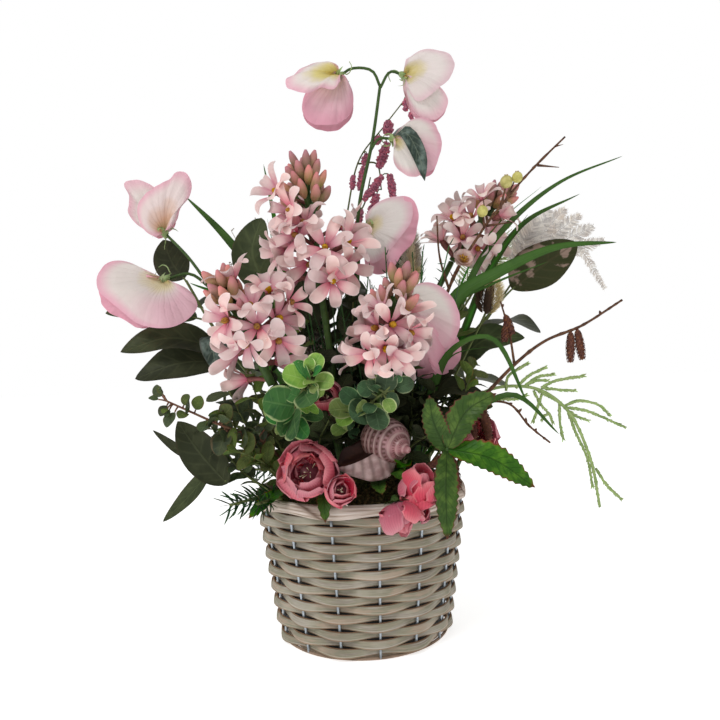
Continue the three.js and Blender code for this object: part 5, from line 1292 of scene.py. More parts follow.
def make_moss():
    """Lumpy dry moss with loose strands all over it"""
    piece = Piece("moss", "moss")
    draw = Draws(77)
    turn = np.linspace(0, 2 * math.pi, 96, endpoint=False)
    reach = MOSS_RADIUS * np.concatenate([[0.005], np.linspace(0.05, 0.99, 30), [1.0, 1.0]])
    x = reach[:, None] * np.sin(turn)
    y = -reach[:, None] * np.cos(turn)
    z = moss_height(x, y) - 1.5
    z += 1.3 * np.sin(x * 0.55 + y * 0.21) * np.sin(y * 0.47 + 1.3) + 0.9 * np.sin(x * 0.93 - y * 0.71)
    z[-1] = FOAM_LEVEL
    piece.grid(np.stack([x, y, z], axis=-1), closed=True)
    for _ in range(MOSS_STRANDS):
        radius = MOSS_RADIUS * math.sqrt(draw(0, 0.98))
        angle = draw(0, 2 * math.pi)
        x, y = radius * math.sin(angle), -radius * math.cos(angle)
        root = np.array([x, y, float(moss_height(x, y)) - 2.0])
        lay = draw(0, 2 * math.pi)
        run = np.array([math.cos(lay), math.sin(lay), 0.0]) * draw(3, 8)
        rise = np.array([0, 0, draw(1.5, 4.5)])
        places = [root, root + run * 0.5 + rise, root + run + rise * draw(-0.2, 0.9)]
        piece.tube(places, [draw(0.35, 0.6), 0.3, 0.15], rows=4, sides=3, tint=draw(-1, 1))
    piece.build("moss", "moss_mound")


def make_star_stem(name, head):
    piece = Piece(name, "stem")
    piece.tube(head["stem"], [3.1, 2.8], rows=20, sides=10)
    piece.build("stem", name)


# Looks of a star head's piece, in order
LOOK_PETAL, LOOK_TUBE, LOOK_CENTRE, LOOK_BUD, LOOK_STALK = range(5)


def add_floret(piece, draw, root, centre, face, size):
    """Six spoon-shaped petals round a long ochre button, on a funnel from the head's core"""
    face = unit(face)
    piece.tube([root, centre - face * 6, centre - face * 1.0], [1.5, 1.7, 2.6], LOOK_TUBE, rows=7, sides=8)
    start = draw(0, 1)
    turned_away = max(0.0, 1 + face[1])
    open_up = draw(-0.05, 0.2) + 0.35 * turned_away
    for j in range(FLORET_PETALS):
        out = spoke(face, 2 * math.pi * (j + start) / FLORET_PETALS + draw(-0.2, 0.2))
        length = size * draw(1.12, 1.36)
        lay = open_up + draw(-0.1, 0.28) + 0.1 * (j % 2)
        curl = draw(-0.16, 0.06)
        places = [centre - face * 2.2 + out * 0.8, centre + out * length * 0.3 + face * (0.8 + lay * 6),
                  centre + out * length * (0.72 - 0.15 * lay) + face * length * (0.14 + lay * 0.6),
                  centre + out * length * (1 - 0.25 * lay) + face * length * (curl + lay)]
        piece.leaf(draw, LOOK_PETAL, places, face, size * draw(0.25, 0.29), 14, 9, (1.0, 0.5), draw(0.3, 0.9),
                   0.25, 1.1, draw(0, 6))
    button = ball(centre + face * 1.6, (2.5, 3.4), face, 9, 10)
    piece.grid(button, LOOK_CENTRE, True, tint=draw(-1, 1))
    for j in range(FLORET_PETALS):
        out = spoke(face, 2 * math.pi * (j + 0.5) / FLORET_PETALS)
        foot = centre + out * 1.2
        piece.tube([foot, foot + face * 3.4 + out * 0.6], [0.35, 0.55], LOOK_CENTRE, rows=3, sides=4,
                   tint=0.8)


def add_bud(piece, draw, root, out, along, share, stalk_share):
    """A plump bud on a short stalk: lower ones lean out, upper ones stand up"""
    rise = unit(out * (1.5 - share * 1.1) + along * (0.45 + share * 0.65) + draw.vector(0.12))
    stalk = (17 - 10 * (share - BUD_FROM) / (1 - BUD_FROM)) * draw(0.8, 1.15) * stalk_share
    body = draw(15, 20)
    start = root + rise * stalk
    waist = draw(3.5, 4.3)
    piece.tube([root, start + rise * 1.5], [1.3, 1.5], LOOK_STALK, 5, 6)
    radii = [1.4, *(waist * part for part in (0.74, 0.95, 1.0, 0.97, 0.85, 0.62, 0.25))]
    bend = start + rise * body * 0.5 + out * 0.8
    piece.tube([start, bend, start + rise * body], radii, LOOK_BUD, 12, 9, draw(-1, 1))


def make_star_head(name, head, florets):
    """Florets seen in the photo, more round the back, and a spike of buds on top"""
    piece = Piece(name, head["petal"], "star_tube", "star_centre", "bud", "stem")
    draw = Draws(head["seed"])
    foot = np.array(head["foot"], float)
    axis = np.array(head["top"], float) - foot
    length = np.linalg.norm(axis)
    along = unit(axis)
    places = [foot - along * 2, foot + axis * 0.5, foot + axis * 0.95]
    piece.tube(places, [3.2, 4.2, 3.4, 2.2], LOOK_STALK, 14, 9)
    for place, face in florets:
        centre = np.array(place, float)
        face = unit(unit(face) + draw.vector(0.12))
        share = np.dot(centre - face * 6 - foot, along) / length - 0.05
        root = foot + axis * min(max(share, 0.02), 0.9)
        add_floret(piece, draw, root, centre, face, head["floret"] * draw(0.95, 1.1))
    for i in range(HIDDEN_FLORETS):
        share, out, way = around(axis, i, HIDDEN_FLORETS, 0.05, 0.66, draw(0.1, 0.4))
        out = np.array([out[0], abs(out[1]) * 0.8 + 0.2, out[2]])
        root = foot + axis * max(share - 0.08, 0.02)
        centre = foot + axis * share + unit(out) * head["reach"] * draw(0.7, 0.95)
        add_floret(piece, draw, root, centre, unit(out + way * 0.6), head["floret"] * draw(0.9, 1.05))
    for i in range(head["buds"]):
        share, out, _ = around(axis, i, head["buds"], BUD_FROM, 0.98, 0)
        root = foot + axis * min(share - 0.12, 0.86)
        add_bud(piece, draw, root, out, along, share, head["bud_stalk"])
    piece.build("star_petal", name)


# Calyx and petals of each sweet pea bloom, from back to front, with places in pixels of the photo
PEA_CALYXES = ((344, 73), (407, 72), (397, 136), (169, 231), (170, 277), (370, 226), (402, 300))
POUCH_C = ((335, 72), (318, 84), (308, 99), (307, 112), (314, 122), (328, 127), (344, 124), (355, 113),
           (357, 96), (351, 81))
LOBE_E = ((405, 127), (416, 120), (427, 118), (437, 122), (443, 133), (445, 146), (442, 157), (437, 169),
          (428, 173), (418, 165))
RIM_F = ((388, 201), (404, 195), (416, 200), (422, 212), (421, 226), (417, 240), (406, 252), (398, 264),
         (388, 271), (378, 271), (370, 264), (368, 250))
POUCH_G = ((398, 320), (400, 340), (404, 354), (409, 364), (419, 373), (431, 376), (441, 369), (447, 352),
           (442, 330), (422, 312))
LOBE_B = ((146, 268), (132, 260), (118, 260), (106, 268), (103, 282), (107, 298), (117, 311), (131, 318),
          (144, 326), (154, 322), (162, 308))
RIM_A = ((160, 235), (150, 228), (138, 220), (131, 208), (132, 193), (127, 181), (138, 177), (152, 181),
         (162, 188), (174, 200), (176, 218))
PEA_KINDS = ("cream", "blush", "pouch", "tulip", "hood", "throat")


def pea_petal(kind, rim, belly, push, ruffle=0.05, tilt=0.0):
    """A petal's kind and outline, how far it bellies, stands forward and waves, and its tilt"""
    return kind, rim, belly, push, ruffle, tilt


PEA_PETALS = (
    (
        pea_petal("pouch", POUCH_C, -0.4, 2),
        pea_petal("pouch", ((352, 80), (357, 94), (356, 110), (346, 122), (334, 124), (328, 108),
                            (334, 86)), 0.3, 4),
        pea_petal("pouch", POUCH_C, 0.36, 3),
        pea_petal("hood", ((345, 90), (339, 98), (327, 97), (313, 103), (303, 101), (294, 97), (293, 88),
                           (300, 84), (306, 78), (316, 71), (330, 67), (342, 70)), 0.42, 14, 0.035, -0.3),
    ),
    (
        pea_petal("pouch", ((416, 82), (436, 84), (451, 98), (448, 111), (437, 119), (424, 117), (414, 104),
                            (409, 88)), -0.35, 2),
        pea_petal("cream", ((416, 82), (438, 86), (451, 99), (448, 111), (437, 119), (424, 117), (415, 104),
                            (409, 88)), 0.2, 3, 0.08),
        pea_petal("throat", ((409, 62), (420, 56), (437, 54), (453, 58), (457, 66), (452, 81), (441, 91),
                             (432, 100), (420, 103), (410, 90)), 0.24, 10, 0.06),
    ),
    (
        pea_petal("pouch", LOBE_E, -0.3, 2),
        pea_petal("blush", LOBE_E, 0.24, 3, 0.05),
        pea_petal("cream", ((399, 146), (397, 160), (403, 172), (413, 178), (424, 175), (428, 160),
                            (416, 140)), 0.3, 6, 0.06),
    ),
    (
        pea_petal("pouch", RIM_A, -0.3, -8, 0.06),
        pea_petal("cream", RIM_A, -0.16, 0, 0.05),
        pea_petal("tulip", ((163, 237), (154, 232), (146, 221), (145, 208), (151, 197), (162, 189),
                            (171, 184), (177, 180), (183, 173), (192, 173), (198, 183), (196, 198),
                            (188, 208), (184, 220), (176, 230)), 0.3, 6, 0.035),
    ),
    (
        pea_petal("pouch", LOBE_B, -0.3, 2, 0.06),
        pea_petal("pouch", LOBE_B, 0.12, 2, 0.05),
        pea_petal("blush", ((153, 270), (138, 262), (124, 260), (112, 266), (107, 277), (111, 291),
                            (124, 303), (136, 313), (150, 323), (168, 327), (183, 326), (197, 318),
                            (205, 307), (202, 296), (193, 287), (180, 281)), 0.3, 8, 0.035, -0.15),
        pea_petal("pouch", ((150, 276), (130, 268), (115, 270), (108, 282), (116, 298), (130, 310),
                            (144, 318), (150, 305)), 0.2, 3, 0.05),
    ),
    (
        pea_petal("pouch", RIM_F, -0.26, 2, 0.06),
        pea_petal("pouch", RIM_F, 0.16, 2, 0.09),
        pea_petal("cream", ((369, 215), (377, 206), (388, 199), (400, 196), (412, 199), (416, 209),
                            (414, 222), (406, 234), (396, 246), (386, 257), (376, 262), (369, 252),
                            (366, 240)), 0.26, 6, 0.035),
    ),
    (
        pea_petal("pouch", POUCH_G, -0.24, 2, 0.06),
        pea_petal("pouch", ((436, 315), (455, 328), (464, 342), (463, 357), (454, 368), (443, 372),
                            (434, 366), (430, 345)), 0.1, 3, 0.1),
        pea_petal("pouch", POUCH_G, 0.3, 3, 0.06),
        pea_petal("blush", ((410, 290), (420, 283), (431, 281), (444, 286), (455, 297), (461, 312),
                            (461, 328), (455, 341), (444, 348), (430, 350), (415, 344),
                            (405, 330)), 0.26, 6, 0.04),
    ),
)


def from_photo(pixels, origin, depth):
    """Millimetres across and up from an origin at a depth, for places in pixels of the photo"""
    offsets = (np.array(pixels, float) - origin) * PHOTO_SCALE * (1 + depth / -CAMERA_PLACE[1])
    right, down = offsets[..., 0], offsets[..., 1]
    across = right * math.cos(CAMERA_ROLL) + down * math.sin(CAMERA_ROLL)
    return across, right * math.sin(CAMERA_ROLL) - down * math.cos(CAMERA_ROLL)


def calyx_place(index):
    """Where a sweet pea's calyx stands, at its own depth and on its line of sight in the photo"""
    depth = SWEET_PEAS[index][0][1]
    across, above = from_photo(PEA_CALYXES[index], PHOTO_MIDDLE, depth)
    return np.array([across, depth, CAMERA_PLACE[2] + above])


def rim_petal(start, calyx, petal, draw, rows=20, cols=57):
    """A petal whose rows run from the calyx to its drawn outline, bellied and wavy towards the edge"""
    _, rim, belly, push, ruffle, tilt = petal
    across, above = from_photo(rim, calyx, start[1])
    edge = spline(np.stack([across, np.zeros(len(across)), above], axis=1), cols)
    reach = np.linalg.norm(edge, axis=1)
    middle = unit(edge.mean(axis=0))
    aside = edge @ np.cross(middle, (0, 1, 0))
    turn = np.arctan2(aside, edge @ middle)
    phase = draw(0, 6)
    share = eased(rows, 0.2)[:, None]
    size = reach.mean()
    lift = belly * size * np.sin(math.pi * 0.84 * share) * np.cos(np.clip(turn, -1.5, 1.5) * 0.8)
    lift = lift + push * share ** 0.6 + tilt * share * edge[:, 2]
    wave = np.sin(4.1 * turn + phase) + 0.7 * np.sin(8.7 * turn + 1.7 * phase) + 0.4 * np.sin(15 * turn)
    pleat = 0.017 * size * np.sin(24 * turn + 3 * np.sin(3 * turn)) * share ** 1.5
    lift = lift + ruffle * size * share ** 2.4 * wave + pleat
    places = start + edge[None] * share[..., None]
    places[..., 1] -= lift
    return places


def make_sweet_pea(index):
    """Broad petals over a ruffled pouch"""
    name = f"sweet_pea_{index + 1}"
    piece = Piece(name, *(f"{kind}_petal" for kind in PEA_KINDS))
    draw = Draws(100 + index)
    start = calyx_place(index)
    for petal in PEA_PETALS[index]:
        shaped = rim_petal(start, PEA_CALYXES[index], petal, draw)
        piece.grid(shaped, PEA_KINDS.index(petal[0]), tint=draw(-0.5, 0.5))
    piece.build("pea_petal", name)


def add_calyx(piece, draw, base, front):
    """A small green cup with five long pointed sepals that curl back"""
    piece.tube([base - front * 4.5, base - front * 1, base + front * 2.2], [1.3, 2.6, 3.4, 3.0], 1, 7, 10)
    for j in range(5):
        out = spoke(front, 2 * math.pi * (j + 0.3) / 5)
        reach = draw(10, 14)
        places = [base + out * 1.6, base + out * 4.6 + front * 3.4,
                  base + out * reach * 0.75 + front * draw(1, 5), base + out * reach + front * draw(-4, 2)]
        piece.leaf(draw, 1, places, front, 2.1, 8, 5, (0.5, 1.1), 0.6)


def add_tendril(piece, root, way, seed):
    """A thin shoot that curls at its end"""
    draw = Draws(seed)
    way = unit(way)
    side = unit(np.cross(way, AWAY))
    reach, curl = 12, 3.5
    places = [root]
    for i in range(1, 7):
        bend = curl * (i / 6) ** 2
        step = (way * math.sin(bend) / curl + side * (1 - math.cos(bend)) / curl) * reach * 1.6
        places.append(root + step + draw.vector(0.6))
    piece.tube(places, [0.6, 0.35], 1, 16, 5)


def make_pea_stem(name, blooms, runs):
    """A forked stem whose ends meet the calyxes of its blooms"""
    piece = Piece(f"sweet_pea_stem_{name}", "stem", "calyx", "mottled_leaf")
    draw = Draws(210 + len(name))
    for first, last, places in runs:
        rows = int(6 + length_of(places) / 9)
        path = [np.array(place, float) for place in places]
        for index in blooms:
            if np.linalg.norm(path[-1] - np.array(SWEET_PEAS[index][0], float)) < 3:
                shift = calyx_place(index) - path[-1]
                path[-1] = path[-1] + shift
                path[-2] = path[-2] + shift * 0.5
        piece.tube(path, [first, last], 0, rows, 9)
    for index in blooms:
        _, back, pouch = SWEET_PEAS[index]
        front = unit(unit(back) + unit(pouch))
        base = calyx_place(index)
        add_calyx(piece, draw, base, front)
        add_tendril(piece, base - front * 4, draw.vector() + np.array([0, -0.4, -0.3]), 300 + index)
    if name == "top":
        piece.grid(sheet(PEA_LEAF, (0, -1, 0.2), 7.5, 14, 9, (0.8, 0.9), 0.45, 0.7), 2)
    piece.build("stem", f"sweet_pea_stem_{name}")


def add_rings(piece, draw, rings, centre, axis, size):
    """Rings of broad crinkled petals round a crimson heart darkened as painted shade, with pale stamens"""
    foot = centre - axis * size * 0.5
    for r, (count, spread, rise, lean, broad, look) in enumerate(rings):
        crinkle = size * (0.19 if count > 4 else 0.12)
        for j in range(count):
            out = spoke(axis, 2 * math.pi * (j + 0.37 * r + draw(-0.22, 0.22)) / count)
            wide = size * spread * draw(0.8, 1.12)
            high = size * rise * draw(0.66, 1.2)
            tilt = draw(-0.2, 0.2)
            places = [foot + out * size * 0.05, foot + out * wide * 0.8 + axis * high * 0.18,
                      foot + out * wide * 1.08 + axis * high * 0.66,
                      foot + out * wide * (lean + tilt) + axis * high * 1.12]
            half = max(wide * math.sin(math.pi / count) * broad, size * 0.2)
            piece.leaf(draw, look, places, -out + axis * 0.2, half, 15, 15, (0.72, 0.3), draw(0.6, 1.15),
                       crinkle, draw(1.4, 3.2), draw(0, 6))
    # Painted shade: the heart takes the petal roots' crimson, darkened by a tint of -1.5 so the middle reads
    # as a hollow
    heart = foot + axis * size * 0.16
    piece.grid(ball(heart, (size * 0.38, size * 0.2), axis, 8, 10), 1, True, -1.5, (0.0, 0.1))
    for _ in range(7):
        way = unit(axis + draw.vector(0.6))
        piece.tube([heart, heart + way * size * 0.5], [0.35, 0.25, 0.5], 3, 4, 4)
    return foot


def make_ranunculus(index, centre, face, size, kind, stalk):
    """A coral bloom on a short stalk with small green leaves under it"""
    name = f"ranunculus_{index + 1}"
    piece = Piece(name, "coral_petal", "coral_inner", "stem", "fine_hair")
    draw = Draws(400 + index)
    centre = np.array(centre, float)
    axis = unit(face)
    foot = add_rings(piece, draw, BLOOM_RINGS[kind], centre, axis, size)
    piece.tube([foot - axis * 1, *stalk], [2.0, 1.8], 2, 10, 8)
    for j in range(5):
        out = spoke(axis, 2 * math.pi * j / 5)
        places = [foot - axis * 1.5, foot + out * size * 0.4 - axis * 1.6, foot + out * size * 0.75 + axis]
        piece.leaf(draw, 2, places, axis, size * 0.17, 6, 5, (0.6, 0.8), 0.5)
    if index == HANGING:
        place, beside, reach = SIDE_BLOOM
        place = np.array(place, float)
        beside = unit(beside)
        add_rings(piece, draw, BLOOM_RINGS["cup"], place, beside, reach)
        piece.tube([place - beside * 5, centre, foot], [1.4, 1.6], 2, 8, 6)
    piece.build("coral_petal", name)


def shell_whorls():
    """The body whorl and stepped spire, with fine spiral ribs and a groove at each seam"""
    foot = np.array(SHELL_FOOT, float)
    axis = np.array(SHELL_APEX, float) - foot
    along = unit(axis)
    side = unit(np.cross(along, UP))
    other = np.cross(along, side)
    share = eased(110, 0.3)[:, None]
    turn = np.linspace(0, 2 * math.pi, 72, endpoint=False)[None, :]
    radius = SHELL_RADIUS * np.interp(share, *zip(*SHELL_PROFILE)) + 0 * turn
    seam = np.exp(-((share - 0.76 - 0.02 * np.sin(turn)) / 0.02) ** 2)
    seam = seam + np.exp(-((share - 0.87) / 0.015) ** 2)
    radius = radius * (1 - 0.12 * seam) + 0.2 * np.sin(2 * math.pi * share * 15)
    radius = radius * np.minimum(1, (1 - share) / 0.02) * np.minimum(1, share / 0.02)
    centre = foot + along * (share * np.linalg.norm(axis))[..., None]
    return centre + side * (radius * np.cos(turn))[..., None] + other * (radius * np.sin(turn))[..., None]


def shell_mouth_rings():
    """Rings round the mouth, bellied below and behind, from the canal's tip to the body"""
    rings = []
    for station in SHELL_MOUTH:
        front, low, back = (np.array(place, float) for place in station)
        deep = np.linalg.norm(front - back)
        below = (front + low) / 2 + np.array([0, -0.22, 0]) * deep
        behind = (low + back) / 2 + np.array([0, 0.42, -0.1]) * deep
        inside = (front + back) / 2 + np.array([0, 0.32, -0.12]) * deep
        rings.append(spline([front, below, low, behind, back, inside, front], 37)[:-1])
    rings = np.array(rings)
    return np.stack([spline(rings[:, c], 30) for c in range(rings.shape[1])], axis=1)


def make_shell():
    """A body whorl with a stepped spire, and an open mouth that narrows into a short canal"""
    piece = Piece("sea_shell", "shell", "shell_lip", "shell_mouth")
    piece.grid(shell_whorls(), closed=True)
    mouth = shell_mouth_rings()
    piece.grid(mouth[:, :25], 1)
    piece.grid(np.concatenate([mouth[:, 24:], mouth[:, :1]], axis=1), 2)
    piece.build("shell", "sea_shell")


def make_eucalyptus(name, looks, stalk, leaves):
    """Round leaves in pairs along a stalk, each on a short leafstalk, with small ones at the tip"""
    grey = name == "grey_left"
    piece = Piece(f"eucalyptus_{name}", *looks, "red_twig" if grey else "olive_stem")
    draw = Draws(500 + len(name))
    broad, ends = (0.8, (0.7, 0.7)) if grey else (0.95, (0.55, 0.5))
    piece.tube(stalk, [1.7, 1.3, 0.8], 2, 20, 7)

    def add_leaf(middle, face, radius, look):
        near = nearest_on(stalk, middle)
        out = unit(middle - near)
        face = unit(face)
        root = middle - out * radius * 0.95
        piece.tube([near, (near + root) / 2 + face * 0.5, root], [0.8, 0.6], 2, 5, 5)
        places = [root, middle + face * 1.0, middle + out * radius * 1.05 - face * draw(0, 1.5)]
        piece.leaf(draw, look, places, face, radius * broad, 13, 13, ends, draw(0.25, 0.5), radius * 0.06,
                   1.3, draw(0, 6))

    for i, (place, face, radius) in enumerate(leaves):
        middle = np.array(place, float)
        face = np.array(face, float)
        radius = radius * LEAF_SIZES[i % len(LEAF_SIZES)]
        add_leaf(middle, face, radius, int(i % 4 == 3 or (name == "variegated_left" and i >= 4)))
        near = nearest_on(stalk, middle)
        turned = middle - near
        for _ in range(3):
            offset = np.cross(unit(turned), draw.vector()) * draw(7, 11)
            small = near + turned * draw(0.45, 0.95) + offset
            tilted = unit(face + draw.vector(0.5))
            add_leaf(small, tilted, radius * draw(0.5, 0.8), int(draw() > 0.55))
    piece.build("grey_leaf" if grey else "eucalyptus_leaf", f"eucalyptus_{name}")


def make_leaf_branch(name, stalk, leaves):
    """Large leaves on leafstalks along a stalk"""
    looks = {"left": ("dark_leaf", "mottled_leaf"), "right": ("pale_leaf", "dark_leaf")}
    piece = Piece(f"leaf_branch_{name}", *looks.get(name, ("dark_leaf", "dark_leaf")), "olive_stem")
    draw = Draws(600 + len(name))
    piece.tube(stalk, [2.3, 1.8, 1.2], 2, 24, 8)
    for i, (root, middle, tip, face, half) in enumerate(leaves):
        near = nearest_on(stalk, np.array(root, float))
        middle = np.array(middle, float)
        start = np.array(LONG_LEAFSTALKS.get((name, i), near + (middle - near) * 0.22), float)
        piece.tube([near, start, start + (middle - start) * 0.1], [1.2, 0.8], 2, 5, 6)
        look = 1 if (name == "left" and i == 4) or (name == "right" and i > 0) else 0
        piece.leaf(draw, look, [start, middle, tip], face, half * 1.04, 21, 13, (0.62, 0.78),
                   draw(0.25, 0.5), half * 0.07, draw(1.2, 2.2), draw(0, 6))
    piece.build("dark_leaf", f"leaf_branch_{name}")


def make_broad_leaves():
    """Broad dark leaves on stalks of their own"""
    piece = Piece("filler_broad_leaves", "dark_leaf", "olive_stem")
    draw = Draws(1250)
    for stalk, places, half in BROAD_LEAVES:
        piece.tube(stalk, [1.8, 1.4], 1, 20, 7)
        piece.leaf(draw, 0, places, (-0.15, -0.9, 0.3), half, 19, 13, (0.55, 0.6), draw(0.3, 0.5),
                   half * 0.06, 1.5, draw(0, 6))
    piece.build("dark_leaf")


def make_grass(name, blades):
    """Long blades, each with a narrow one beside it"""
    piece = Piece(f"grass_{name}", "grass")
    draw = Draws(700 + len(name))
    for places, half in blades:
        rows = int(10 + length_of(places) / 8)
        wide = half * (1.3 if half >= 5 else 1.1)
        piece.leaf(draw, 0, places, GRASS_FACE, wide, rows, 7, (0.4, 0.6), 0.55, half * 0.08, 3, draw(0, 6))
        shift = draw.vector(3.0) + np.array([0, 2, 0])
        bent = [np.array(place, float) + shift * (0.2 + i) * 1.2 for i, place in enumerate(places[:-1])]
        piece.leaf(draw, 0, bent, GRASS_FACE, half * draw(0.3, 0.5), rows, 5, (0.2, 0.6), 0.5)
    piece.build("grass", f"grass_{name}")


def make_serrated(name, stalk, leaves):
    """Leaves with saw-toothed edges on one stalk"""
    piece = Piece(f"serrated_sprig_{name}", "serrated", "stem")
    draw = Draws(800 + len(name))
    piece.tube(stalk, [1.8, 1.3], 1, 14, 7)
    for root, middle, tip, face, half in leaves:
        near = nearest_on(stalk, np.array(root, float))
        piece.leaf(draw, 0, [near, middle, tip], face, half * 1.05, 71, 13, (0.6, 0.75), draw(0.3, 0.55),
                   half * 0.06, 1.4, draw(0, 6), teeth=13, tooth=0.16)
    piece.build("serrated_leaf", f"serrated_sprig_{name}")


def make_small_leaves():
    """Small serrated leaves low in front, rooted in the moss"""
    piece = Piece("small_leaves", "serrated")
    draw = Draws(1500)
    for root, middle, tip, face, half in SMALL_LEAVES:
        piece.leaf(draw, 0, [root, middle, tip], face, half, 41, 9, (0.9, 0.7), 0.4, 0.5, 1.4, draw(0, 6),
                   teeth=8, tooth=0.2)
    piece.build("serrated_leaf")


def add_bark(piece, places, radii, draw):
    """A slightly knotted twig"""
    rows = int(10 + length_of(places) / 4)
    radius = np.interp(np.linspace(0, 1, rows), np.linspace(0, 1, len(radii)), radii)
    knots = [1 + 0.35 * max(0.0, draw(-1.6, 1)) for _ in range(rows)]
    piece.tube(places, list(radius * knots), 0, rows, 8, draw(-0.5, 0.5))


def add_catkin(piece, draw, start, end, radius):
    """A catkin: a slim core wrapped in small scales"""
    start, end = np.array(start, float), np.array(end, float)
    axis = end - start
    along = unit(axis)
    piece.grid(ball((start + end) / 2, (radius * 0.92, np.linalg.norm(axis) / 2), along, 12, 10), 1, True)
    for i in range(CATKIN_SCALES):
        share, out, _ = around(axis, i, CATKIN_SCALES, 0.06, 0.94, 0)
        swell = math.sin(math.pi * share) ** 0.5
        root = start + axis * share + out * radius * 0.85 * swell
        tip = root + unit(out * 0.25 + along * 0.8) * 2.2
        piece.leaf(draw, 1, [root, (root + tip) / 2 + out * 0.5, tip], out, 1.1, 4, 3, (0.5, 0.5), 0.7)


def make_hazel():
    """Brown twig with hanging catkins of small scales"""
    piece = Piece("hazel_twig", "twig", "catkin")
    draw = Draws(31)
    for places, radii in HAZEL_RUNS:
        add_bark(piece, places, radii, draw)
        for spot in spline(places, np.linspace(0.35, 0.92, 5)):
            way = unit(draw.vector() + np.array([0.3, 0, 0.4]))
            piece.tube([spot, spot + way * draw(2, 4)], [1.2, 1.3, 0.4], 0, 4, 6)
    for start, end, radius in HAZEL_CATKINS:
        add_catkin(piece, draw, start, end, radius)
    piece.build("twig", "hazel_twig")


def make_low_catkins():
    """Two brown catkins behind the serrated leaves"""
    piece = Piece("filler_catkins", "twig", "catkin")
    draw = Draws(1280)
    for places in LOW_TWIGS:
        piece.tube(places, [1.5, 1.1], 0, 12, 7)
    for start, end, radius in LOW_CATKINS:
        add_catkin(piece, draw, start, end, radius)
    piece.build("twig")


def add_berry(piece, draw, place, radius):
    """A round berry with five short tips on top"""
    piece.grid(ball(place, (radius, radius * 1.05), (0.2, -0.2, 1), 12, 14), 1, True, draw(-1, 1))
    for j in range(5):
        turn = 2 * math.pi * j / 5
        tip = place + np.array([math.cos(turn) * 1.6, math.sin(turn) * 1.6, radius * 1.15])
        piece.tube([place + np.array([0, 0, radius * 0.85]), tip], [0.5, 0.3], 3, 3, 4)


def add_thorny_bloom(piece, draw):
    """A small half open bloom with two rings of petals and a brush of stamens"""
    centre = np.array(THORNY_BLOOM, float)
    face = unit(THORNY_BLOOM_FACE)
    for ring, (reach, rise) in enumerate(THORNY_BLOOM_RINGS):
        for j in range(5):
            out = spoke(face, 2 * math.pi * (j + 0.5 * ring) / 5)
            places = [centre - face * 3, centre + out * reach * 0.6 + face * rise * 0.2,
                      centre + out * reach + face * rise]
            piece.leaf(draw, 2, places, face, 5.2, 9, 9, (0.6, 0.3), 0.8, 0.5)
    for _ in range(THORNY_STAMENS):
        way = unit(face + draw.vector(0.8))
        piece.tube([centre - face, centre + way * 5], [0.25, 0.25, 0.7], 3, 4, 4)


def make_thorny():
    """Thorny twig with yellow berries and a small half open bloom"""
    piece = Piece("thorny_twig", "twig", "berry", "small_petal", "star_centre")
    draw = Draws(57)
    for places, radii in THORNY_RUNS:
        add_bark(piece, places, radii, draw)
    for start, end, radius in THORNY_SPURS:
        piece.tube([start, end], [radius, radius * 0.6, 0.3], 0, 6, 6)
    for spot in spline(THORNY_RUNS[0][0], np.linspace(0.4, 0.97, 12)):
        way = unit(draw.vector() + np.array([0, 0, 0.3]))
        piece.tube([spot, spot + way * draw(4, 7)], [1.0, 0.5, 0.15], 0, 4, 5)
    for place, radius in BERRIES:
        add_berry(piece, draw, np.array(place, float), radius)
    add_thorny_bloom(piece, draw)
    piece.build("twig", "thorny_twig")


def make_bunny_tail(index, stalk, start, end, radius):
    """An oval seed head wrapped in fine hairs, on a thin stalk: the first is browner on its lower side"""
    first = index == 0
    upper_look, lower_look = ("fine_hair", "dark_hair") if first else ("silver_hair", "fine_hair")
    piece = Piece(f"bunny_tail_{index + 1}", upper_look, "olive_stem", lower_look)
    draw = Draws(900 + index)
    piece.tube(stalk, [1.2, 1.0], 1, 22, 6)
    start = np.array(start, float)
    axis = np.array(end, float) - start
    piece.grid(ball(start + axis / 2, (radius * 0.55, np.linalg.norm(axis) * 0.5), axis, 12, 12), 2, True)
    wide = radius * (1.9 if first else 1.1)
    for i in range(BUNNY_HAIRS):
        share, out, way = around(axis, i, BUNNY_HAIRS, 0.03, 0.99, draw(0.55, 1.0))
        lower = 0.9 * (share - 0.5) + 0.45 * out[0] < -0.12 if first else share < 0.4
        swell = math.sin(math.pi * (0.08 + share * 0.88)) ** 0.6
        root = start + axis * share + out * wide * 0.5 * swell
        reach = draw(6, 9) * (0.6 + 0.5 * swell)
        tip = root + way * reach + draw.vector(0.8)
        places = [root, (root + tip) / 2 + out * 0.5, tip]
        piece.leaf(draw, 2 if lower else 0, places, np.cross(way, out), 0.3, 4, 2, (0.1, 0.5), 0.01)
    piece.build("bunny_tail", f"bunny_tail_{index + 1}")


def add_barb(piece, draw, root, along, way, normal, reach, broad):
    """A barb of a plume with pairs of finer hairs"""
    end = root + way * reach
    piece.leaf(draw, 0, [root, (root + end) / 2 - along * 0.8, end], normal, broad, 6, 3, (0.2, 0.5), 0.4)
    for share in (0.3, 0.5, 0.7, 0.88):
        spot = root + (end - root) * share
        for turn in (-1, 1):
            twig = unit(way + along * 0.8 * turn + normal * draw(-0.6, 0.6))
            hair = [spot, spot + twig * draw(1.6, 2.6)]
            piece.leaf(draw, 0, hair, normal + 0.01, 0.22, 3, 2, (0.1, 0.5), 0.01)


